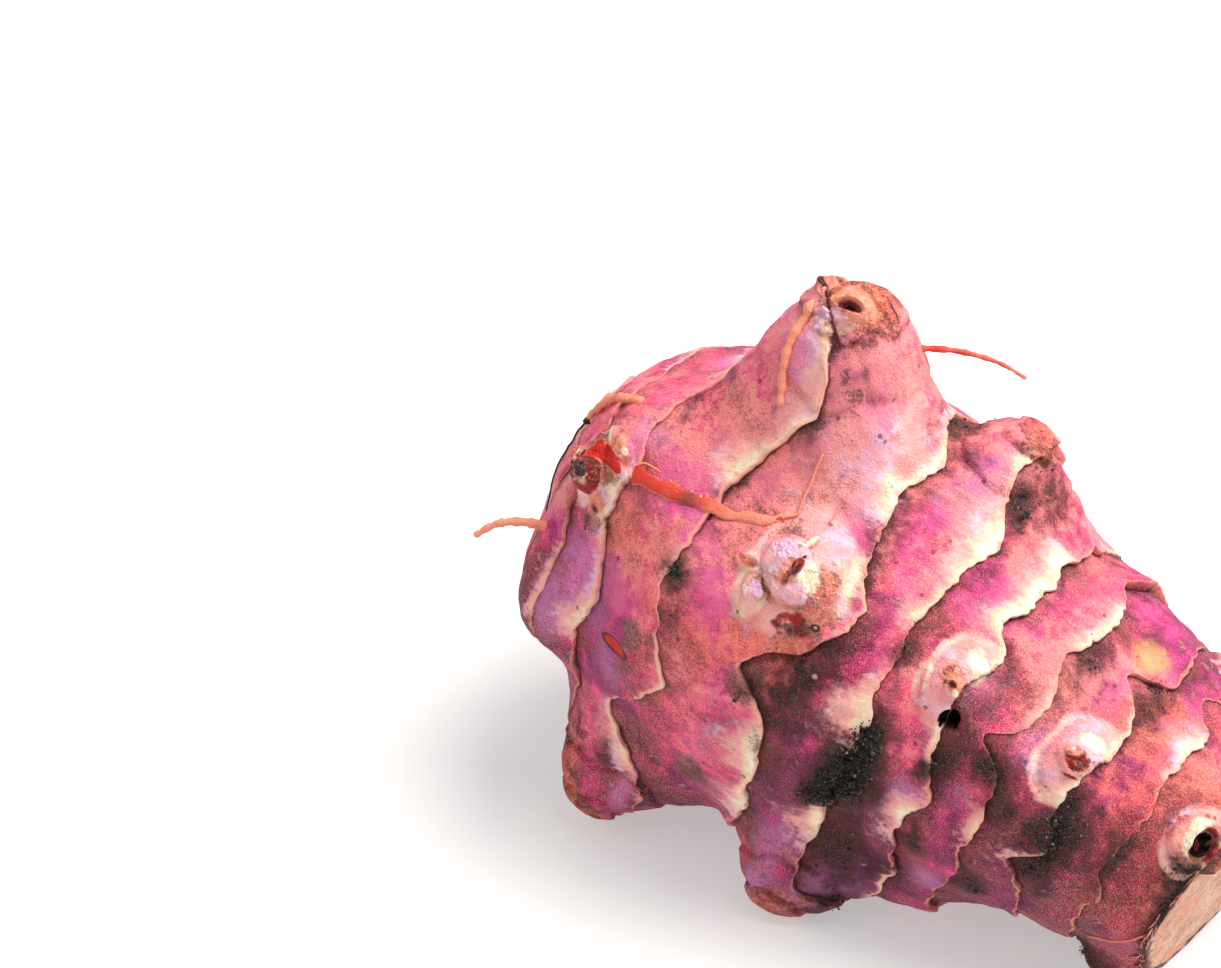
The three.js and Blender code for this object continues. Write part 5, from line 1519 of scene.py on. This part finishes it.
def soil_material(look):
    """Dry dark earth with greenish and tan grains."""
    shader = Shader("dry_soil", look.soil_dark)
    patch = shader.noise(1.2, 3.0)
    grain = shader.noise(0.15, 2.0, 0.7)
    shader.lay(grain.rise(0.3, 0.8), look.soil)
    shader.lay((shader.fact("tone") + 0.4 * (patch - 0.5)).rise(0.8, 1.0), look.soil_tan)
    return shader.surface(0.85 + 0.1 * grain, shader.bump(0.08 * grain))


def floor_material(look):
    """Matt white studio sweep with a barely visible grain."""
    shader = Shader("studio_floor", look.floor)
    soft = shader.noise(60.0, 2.0)
    shader.lay(soft.rise(0.2, 0.8), tuple(0.985 * c for c in look.floor))
    return shader.surface(0.75, shader.bump(0.01 * soft), Emission_Color=(1.0, 1.0, 1.0, 1.0),
                          Emission_Strength=0.4)


MATERIALS = {}


def material_for(build, look):
    """Makes each material once."""
    if build not in MATERIALS:
        MATERIALS[build] = build(look)
    return MATERIALS[build]


def colour(name, description, default):
    """A colour that a user can change."""
    return FloatVectorProperty(name=name, description=description, subtype="COLOR", size=3,
                               min=0.0, max=1.0, default=default)


class TuberLook(PropertyGroup):
    """Colours of the skin, flesh, rootlets, buds and soil."""

    # Salmon, pink, magenta and mauve, coral and brick, and violet and deep violet run from the upper
    # side to the underside: partly the skin's own tones, partly painted shade lower on the body.
    salmon: colour("Salmon", "Lit skin on the upper side", srgb(255, 140, 142))
    pink: colour("Pink", "Most of the skin", srgb(254, 84, 128))
    magenta: colour("Magenta", "Skin lower down the scales", srgb(206, 32, 100))
    mauve: colour("Mauve", "Skin on the underside", srgb(120, 14, 56))
    coral: colour("Coral", "Reddish skin in the light", srgb(250, 108, 90))
    brick: colour("Brick", "Reddish skin lower down", srgb(172, 40, 46))
    violet: colour("Violet", "Violet blotches", srgb(216, 56, 156))
    violet_deep: colour("Deep violet", "Violet skin on the underside", srgb(124, 24, 92))
    speck: colour("Speck", "Fine pale specks", srgb(255, 210, 200))
    # Painted shade in the grooves.
    painted_groove_shade: colour("Purple", "Skin in the grooves", srgb(66, 16, 40))
    # Painted shadow, low under the scales.
    gloom: colour("Gloom", "Darkest skin, low under the scales", srgb(40, 14, 30))
    blush: colour("Blush", "Pale streaks and the skin near a lip", srgb(255, 180, 174))
    lilac: colour("Lilac", "Bleached violet patches", srgb(220, 132, 198))
    lilac_light: colour("Light lilac", "Young bud skin", srgb(248, 200, 224))
    lip: colour("Lip", "Thin edge of a scale", srgb(252, 176, 146))
    cream: colour("Cream", "Bleached edge of a scale", srgb(255, 222, 184))
    # Whitest bleached skin, also a painted highlight at the palest lip cores.
    ivory_and_highlight: colour("Ivory", "Whitest skin of a lip", srgb(255, 245, 224))
    dust: colour("Dust", "Fine dirt on the skin", srgb(172, 78, 68))
    cork: colour("Cork", "Corky skin round eyes", srgb(240, 148, 114))
    cork_dark: colour("Dark cork", "Cracks and spots in cork", srgb(108, 44, 42))
    rust: colour("Rust", "Orange-brown scars", srgb(198, 84, 62))
    amber: colour("Amber", "Orange patch on the cut side", srgb(250, 178, 118))
    scab: colour("Scab", "Grey-brown rubbed tissue", srgb(150, 116, 100))
    soil: colour("Soil", "Dry soil", srgb(66, 70, 66))
    soil_dark: colour("Dark soil", "Damp soil and pits", srgb(24, 20, 24))
    # Grey grains in dark tissue, partly a painted sheen.
    slate_and_sheen: colour("Slate", "Grey grains in dark cracks", srgb(126, 142, 140))
    # Painted shade inside the deep pits of the eyes.
    hole: colour("Hole", "Deep pits", srgb(16, 12, 13))
    soil_stain: colour("Soil stain", "Skin rubbed with soil", srgb(84, 36, 44))
    soil_tan: colour("Tan soil", "Light grains of soil", srgb(166, 126, 104))
    flesh: colour("Flesh", "Cut flesh", srgb(218, 178, 156))
    flesh_dry: colour("Dry flesh", "Dried cut flesh", srgb(188, 134, 114))
    root_red: colour("Red rootlet", "Fresh rootlet", srgb(214, 48, 34))
    root_salmon: colour("Salmon rootlet", "Pale rootlet", srgb(246, 150, 122))
    floor: colour("Floor", "Studio floor", srgb(205, 205, 205))


class TuberShape(PropertyGroup):
    """How finely the skin is grown."""

    columns: IntProperty(name="Columns", description="Points round the skin", default=540, min=40,
                         max=700)
    row_pitch: FloatProperty(name="Row pitch", description="Distance between rows of points, mm",
                             default=0.42, min=0.3, max=5.0)
    raggedness: FloatProperty(name="Raggedness", description="How torn the scales' edges are, mm",
                              default=1.3, min=0.0, max=2.0)


class TuberDetails(PropertyGroup):
    """Soil, rootlet and cut details."""

    crumbs: IntProperty(name="Crumbs", description="Loose crumbs of soil on the skin", default=5200,
                        min=0, max=8000)
    crumb_size: FloatProperty(name="Crumb size", description="Half width of a middling crumb, mm",
                              default=0.085, min=0.05, max=1.0)
    fibres: IntProperty(name="Fibres", description="Frayed fibres on the flat rootlet", default=60,
                        min=0, max=300)
    rim_fibres: IntProperty(name="Rim fibres", description="Torn fibres on the skin along the cut",
                            default=420, min=0, max=2000)
    cut_relief: FloatProperty(name="Cut relief", description="Unevenness of the cut face, mm",
                              default=0.25, min=0.0, max=1.0)
    soil_seed: IntProperty(name="Soil seed", description="Picks where the crumbs lie", default=7)


class TuberStudio(PropertyGroup):
    """Strengths of the studio lights."""

    key_power: FloatProperty(name="Key", description="Large lamp above and to the right",
                             subtype="POWER", default=6.8, min=0.0)
    fill_power: FloatProperty(name="Fill", description="Lamp in front on the left", subtype="POWER",
                              default=0.9, min=0.0)
    sky: FloatProperty(name="Sky", description="Brightness of the surroundings", default=0.33,
                       min=0.0)


class TUBER_OT_grow_skin(Operator):
    """Grow the knobbly skin with its scales and marks, in bands that end in grooves"""

    bl_idname = "tuber.grow_skin"
    bl_label = "Grow Skin"

    def execute(self, context):
        points, facts, scale, _ = grown_for(context.scene.tuber_shape)
        columns = points.shape[1]
        material = material_for(skin_material, context.scene.tuber_look)
        for name, first, last in SKIN_BANDS:
            rows = np.flatnonzero((scale >= first) & (scale <= last))
            rows = np.arange(rows[0], min(rows[-1] + 2, len(scale)))
            spots = points[rows].reshape(-1, 3)
            values = {key: fact[rows].ravel() for key, fact in facts.items()}
            faces = ring_faces(len(rows), columns).tolist()
            if first == 0:
                top = len(spots)
                spots = np.vstack([spots, plain_skin(np.array(0.0), np.array(0.0))[None, :]])
                values = {key: np.append(fact, fact[:columns].mean()) for key, fact in values.items()}
                faces.extend(fan(top, 0, columns))
            band = mesh_piece(name, to_frame(spots), faces, values, material)
            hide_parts(NODE)
        return {"FINISHED"}


class TUBER_OT_eyes(Operator):
    """Set finely lobed skin into the eyes"""

    bl_idname = "tuber.eyes"
    bl_label = "Eyes"

    def execute(self, context):
        raggedness = context.scene.tuber_shape.raggedness
        heap = Heap()
        for index, patch in enumerate(PATCHES):
            points, centre, facts = grow_patch(patch, raggedness, 50 * index)
            rings, spokes = points.shape[:2]
            faces = ring_faces(rings, spokes).tolist()
            top = rings * spokes
            faces.extend(fan(top, 0, spokes))
            spots = np.vstack([points.reshape(-1, 3), centre[None, :]])
            values = {key: np.append(fact.ravel(), fact[0].mean()) for key, fact in facts.items()}
            heap.add(spots, faces, **values)
        heap.piece("eyes", material_for(skin_material, context.scene.tuber_look), "bud")
        return {"FINISHED"}


class TUBER_OT_cut_face(Operator):
    """Close the cut end with dry, slightly uneven flesh"""

    bl_idname = "tuber.cut_face"
    bl_label = "Cut Face"

    def execute(self, context):
        rim = grown_for(context.scene.tuber_shape)[0][-1]
        centre, normal, _ = cut_plane(rim)
        shares = np.array(CUT_RINGS)
        rings = centre + (rim[None, :, :] - centre) * shares[:, None, None]
        rough = soft_noise(rings, 3.0, 41) + 0.5 * soft_noise(rings, 1.0, 42) - 0.75
        saw = SAW_DEPTH * np.sin(rings @ np.array(SAW_LINES))
        depth = context.scene.tuber_details.cut_relief * (rough + saw)
        rings = rings + normal * (depth * smooth((1 - shares) / 0.05)[:, None])[..., None]
        columns = rim.shape[0]
        spots = np.vstack([rings.reshape(-1, 3), centre[None, :]])
        faces = ring_faces(len(shares), columns).tolist()
        last = (len(shares) - 1) * columns
        faces.extend(fan(len(spots) - 1, last, columns, False))
        edge = np.append(np.repeat(shares, columns), 0.0)
        material = material_for(flesh_material, context.scene.tuber_look)
        mesh_piece("cut_face", to_frame(spots), faces, {"edge": edge}, material)
        return {"FINISHED"}


class TUBER_OT_rim_fibres(Operator):
    """Lay torn brown fibres on the skin along the cut"""

    bl_idname = "tuber.rim_fibres"
    bl_label = "Rim Fibres"

    def execute(self, context):
        points, _, _, skin_map = grown_for(context.scene.tuber_shape)
        details = context.scene.tuber_details
        normals = skin_map.normals.reshape(points.shape)
        chooser = np.random.default_rng(details.soil_seed + 11)
        columns = points.shape[1]
        heap = Heap()
        for _ in range(details.rim_fibres):
            column = int(chooser.integers(columns))
            row = chooser.uniform(2.0, RIM_ROWS)
            drift = chooser.normal(0.0, 0.7)
            stride = int(chooser.integers(2, 6))
            line = []
            for step in range(RIM_BENDS):
                place = (-int(np.clip(row + drift * step, 2, 2 * RIM_ROWS)),
                         (column + step * stride) % columns)
                lift = RIM_LIFT[0] + RIM_LIFT[1] * chooser.uniform() ** 2
                line.append(points[place] + normals[place] * lift)
            path = smooth_path(line, RIM_PITCH)
            girth = chooser.uniform(0.04, 0.1)
            radii = girth * np.sin(np.linspace(0.25, math.pi - 0.15, len(path)))
            lying = np.repeat(normals[-2, column][None], len(path), 0)
            spots, faces = tube(path, radii, lying, 1.0, FIBRE_SIDES)
            heap.add(spots, faces, tone=chooser.uniform(0.5, 1.2), fray=chooser.uniform(0.0, 0.6),
                     dry=chooser.choice((0.0, 0.45, 0.8, 0.8)))
        heap.piece("rim_fibres", material_for(rootlet_material, context.scene.tuber_look), "root")
        return {"FINISHED"}


def rootlet_path(rootlet, skin_map):
    """A rootlet's middle line over the skin and into the air, with the skin's outward."""
    stops = []
    outs = []
    for skin, angle, lift in smooth_path(rootlet.steps, STEP_PITCH):
        point, out = skin_map.at(skin, angle)
        stops.append(point + out * lift)
        outs.append(out)
    root = stops[-1]
    for reach in rootlet.reach:
        stops.append(root + np.array(reach))
        outs.append(outs[-1])
    stops.insert(0, stops[0] - outs[0] * ROOTLET_DEPTH * 0.5)
    outs.insert(0, outs[0])
    path = smooth_path(stops, ROOTLET_PITCH)
    for _ in range(ROOTLET_SMOOTHINGS):
        path[1:-1] = 0.25 * path[:-2] + 0.5 * path[1:-1] + 0.25 * path[2:]
    at = np.linspace(0, 1, len(outs))
    spread = np.linspace(0, 1, len(path))
    lying = np.stack([np.interp(spread, at, np.array(outs)[:, i]) for i in range(3)], axis=-1)
    return path, lying


def rootlet_form(index, rootlet, path, lying):
    """A rootlet's tube, its radii, and how pale, frayed and dry it is."""
    share = np.linspace(0.0, 1.0, len(path))
    wobble = 1 + 0.14 * np.sin(share * 37 + index) + 0.1 * np.sin(share * 83 + 2 * index)
    radii = (rootlet.start + (rootlet.end - rootlet.start) * share) * wobble
    points, faces = tube(path, radii, lying, rootlet.flat)
    around = np.tile(np.arange(ROOTLET_SIDES), len(path))
    frayed = (around >= ROOTLET_SIDES // 2 - 1) & (around <= ROOTLET_SIDES // 2 + 1)
    fray = np.where(frayed, 0.5, 0.0) + np.where(around == 0, 0.9, 0.0)
    paling = 0.75 if rootlet.frayed else 0.25
    tone = rootlet.tone + paling * np.append(np.repeat(share ** 1.6, ROOTLET_SIDES), [0, 1])
    drying = smooth((share - rootlet.dries_at) / 0.15)
    drying = drying + 0.3 * rootlet.frayed * np.exp(-((share - 0.62) / 0.06) ** 2)
    facts = {
        "tone": tone,
        "fray": np.append(fray * rootlet.frayed, [0, 0]),
        "dry": np.append(np.repeat(drying, ROOTLET_SIDES), [0, 0]),
    }
    return points, faces, radii, facts


class TUBER_OT_rootlets(Operator):
    """Lay the rootlets on the skin, with the frayed flat one"""

    bl_idname = "tuber.rootlets"
    bl_label = "Rootlets"

    def execute(self, context):
        skin_map = grown_for(context.scene.tuber_shape)[3]
        details = context.scene.tuber_details
        heap = Heap()
        chooser = np.random.default_rng(details.soil_seed + 3)
        for index, rootlet in enumerate(ROOTLETS):
            path, lying = rootlet_path(rootlet, skin_map)
            points, faces, radii, form = rootlet_form(index, rootlet, path, lying)
            heap.add(points, faces, **form)
            if rootlet.frayed:
                self.fray(heap, path, lying, radii, details.fibres, chooser)
        for hair in HAIRS:
            path, lying = rootlet_path(hair, skin_map)
            radii = np.linspace(hair.start, hair.end, len(path))
            points, faces = tube(path, radii, lying, 1.0, HAIR_SIDES)
            heap.add(points, faces, tone=hair.tone, fray=0.0, dry=float(hair.dries_at < 0))
        material = material_for(rootlet_material, context.scene.tuber_look)
        heap.piece("rootlets", material, "root")
        return {"FINISHED"}

    @staticmethod
    def fray(heap, path, lying, radii, count, chooser):
        """Short pale fibres that stand off one edge of a flat rootlet."""
        ahead = unit(np.gradient(path, axis=0))
        width = np.cross(ahead, unit(lying))
        for _ in range(count):
            i = int(chooser.integers(len(path) // 8, int(len(path) * 0.7)))
            base = path[i] - width[i] * radii[i] * 0.8
            way = unit(-width[i] + ahead[i] * chooser.uniform(-0.9, 0.9)
                       + unit(lying)[i] * chooser.uniform(0.0, 0.7))
            length = chooser.uniform(0.2, 0.55)
            bend = ahead[i] * chooser.uniform(-0.15, 0.15)
            line = np.array([base, base + way * length * 0.5, base + way * length + bend])
            flat = np.repeat(lying[i:i + 1], len(line), 0)
            points, faces = tube(line, FRAY_RADII, flat, 1.0, FIBRE_SIDES)
            tone = chooser.uniform(0.1, 0.9)
            heap.add(points, faces, tone=tone, fray=chooser.uniform(0.0, 0.8), dry=0.0)


def crumb_weight(points, facts):
    """How likely a crumb lies at each point of the skin; all of it adds up to 1."""
    right = np.linalg.norm(np.roll(points, -1, 1) - points, axis=-1)
    down = np.linalg.norm(np.gradient(points, axis=0), axis=-1)
    dirt = facts["soil"] + 0.2 * facts["groove"] * (0.4 + facts["step"])
    clumps = soft_noise(points, 2.2, 91) + 0.6 * soft_noise(points, 0.9, 92) - 0.8
    weight = np.clip(dirt + 0.9 * clumps - 0.75, 0.0, 1.2) ** 2 * right * down
    weight[-CLEAN_ROWS:] = 0.0
    weight[points[..., 2] + SETTLE[2] < CRUMB_FLOOR] = 0.0
    return weight.ravel() / weight.sum()


class TUBER_OT_soil_crumbs(Operator):
    """Scatter crumbs of dry soil in the grooves and the dirty patches"""

    bl_idname = "tuber.soil_crumbs"
    bl_label = "Soil Crumbs"

    def execute(self, context):
        points, facts, _, skin_map = grown_for(context.scene.tuber_shape)
        details = context.scene.tuber_details
        chooser = np.random.default_rng(details.soil_seed)
        flat = points.reshape(-1, 3)
        count = details.crumbs
        picks = chooser.choice(len(flat), size=count, p=crumb_weight(points, facts))
        corner, faces = crumb_form()
        size = np.minimum(details.crumb_size * chooser.lognormal(0.0, 0.5, count), CRUMB_LARGEST)
        shape = corner[None] * chooser.uniform(0.7, 1.3, (count, len(corner), 1))
        shape = shape * chooser.uniform(0.5, 1.4, (count, 1, 3)) * size[:, None, None]
        turns, _ = np.linalg.qr(chooser.normal(size=(count, 3, 3)))
        turns = turns * np.sign(np.linalg.det(turns))[:, None, None]
        shape = shape @ turns
        lift = size * chooser.uniform(-0.2, 0.5, count)
        spot = flat[picks] + skin_map.normals[picks] * lift[:, None]
        spot = spot + chooser.normal(0.0, CRUMB_STRAY, (count, 3))
        crumbs = (spot[:, None, :] + shape).reshape(-1, 3)
        firsts = len(corner) * np.arange(count)[:, None, None]
        faces = (np.array(faces)[None] + firsts).reshape(-1, 3).tolist()
        tone = np.repeat(chooser.uniform(0.0, 0.95, count), len(corner))
        material = material_for(soil_material, context.scene.tuber_look)
        mesh_piece("soil_crumbs", to_frame(crumbs), faces, {"tone": tone}, material)
        return {"FINISHED"}


def crumb_form():
    """The twelve corners and twenty faces of a small rounded crumb."""
    golden = (1 + math.sqrt(5)) / 2
    corners = np.array([(-1, golden, 0), (1, golden, 0), (-1, -golden, 0), (1, -golden, 0),
                        (0, -1, golden), (0, 1, golden), (0, -1, -golden), (0, 1, -golden),
                        (golden, 0, -1), (golden, 0, 1), (-golden, 0, -1), (-golden, 0, 1)])
    faces = ((0, 11, 5), (0, 5, 1), (0, 1, 7), (0, 7, 10), (0, 10, 11), (1, 5, 9), (5, 11, 4),
             (11, 10, 2), (10, 7, 6), (7, 1, 8), (3, 9, 4), (3, 4, 2), (3, 2, 6), (3, 6, 8),
             (3, 8, 9), (4, 9, 5), (2, 4, 11), (6, 2, 10), (8, 6, 7), (9, 8, 1))
    return unit(corners), faces


class TUBER_OT_studio(Operator):
    """Set up the floor, the soft lights and the camera"""

    bl_idname = "tuber.studio"
    bl_label = "Studio"

    def execute(self, context):
        scene = context.scene
        studio = scene.tuber_studio
        bpy.ops.mesh.primitive_plane_add(size=FLOOR_SIZE, location=(0.0, 0.0, 0.0))
        floor = context.object
        floor.name = "studio_floor"
        floor.data.materials.append(material_for(floor_material, scene.tuber_look))
        self.lamp("key", studio.key_power)
        self.lamp("fill", studio.fill_power)
        world = bpy.data.worlds.new("studio_surroundings")
        world.use_nodes = True
        sky = world.node_tree.nodes["Background"].inputs
        sky["Color"].default_value = (1, 1, 1, 1)
        sky["Strength"].default_value = studio.sky
        scene.world = world
        scene.view_settings.view_transform = "Standard"
        self.camera(scene)
        return {"FINISHED"}

    @staticmethod
    def lamp(name, power):
        """A square lamp that faces the tuber."""
        place, size, tint = LAMPS[name]
        data = bpy.data.lights.new(name, "AREA")
        data.size = size
        data.energy = power
        data.color = tint
        lamp = bpy.data.objects.new(name, data)
        lamp.location = place
        lamp.rotation_euler = Vector(place).to_track_quat("Z", "Y").to_euler()
        bpy.context.scene.collection.objects.link(lamp)

    @staticmethod
    def camera(scene):
        """The camera at the photograph's angle and distance."""
        data = bpy.data.cameras.new("photo_camera")
        data.lens = LENS
        data.sensor_width = SENSOR
        data.sensor_fit = "HORIZONTAL"
        data.clip_start = 0.01
        back = np.array([math.sin(CAMERA_AZIMUTH) * math.cos(CAMERA_HEIGHT),
                         -math.cos(CAMERA_AZIMUTH) * math.cos(CAMERA_HEIGHT),
                         math.sin(CAMERA_HEIGHT)])
        camera = bpy.data.objects.new("photo_camera", data)
        camera.location = to_frame(CAMERA_TARGET + back * CAMERA_DISTANCE)
        camera.rotation_euler = Vector(back).to_track_quat("Z", "Y").to_euler()
        scene.collection.objects.link(camera)
        scene.camera = camera


STEPS = (TUBER_OT_grow_skin, TUBER_OT_eyes, TUBER_OT_cut_face, TUBER_OT_rim_fibres,
         TUBER_OT_rootlets, TUBER_OT_soil_crumbs, TUBER_OT_studio)
GROUPS = {"tuber_look": TuberLook, "tuber_shape": TuberShape, "tuber_details": TuberDetails,
          "tuber_studio": TuberStudio}


class TUBER_PT_panel(Panel):
    """Lists the tuber's settings and steps"""

    bl_label = "Jerusalem Artichoke"
    bl_idname = "TUBER_PT_panel"
    bl_space_type = "VIEW_3D"
    bl_region_type = "UI"
    bl_category = "Tuber"

    def draw(self, context):
        for name, group in GROUPS.items():
            box = self.layout.box()
            for key in group.__annotations__:
                box.prop(getattr(context.scene, name), key)
        for step in STEPS:
            self.layout.operator(step.bl_idname)


CLASSES = (*GROUPS.values(), *STEPS, TUBER_PT_panel)


def register():
    for item in CLASSES:
        bpy.utils.register_class(item)
    for name, group in GROUPS.items():
        setattr(bpy.types.Scene, name, PointerProperty(type=group))


def unregister():
    for name in GROUPS:
        delattr(bpy.types.Scene, name)
    for item in reversed(CLASSES):
        bpy.utils.unregister_class(item)


def main():
    """Makes the whole tuber and its studio."""
    register()
    bpy.ops.tuber.grow_skin()
    bpy.ops.tuber.eyes()
    bpy.ops.tuber.cut_face()
    bpy.ops.tuber.rim_fibres()
    bpy.ops.tuber.rootlets()
    bpy.ops.tuber.soil_crumbs()
    bpy.ops.tuber.studio()


if __name__ == "__main__":
    main()
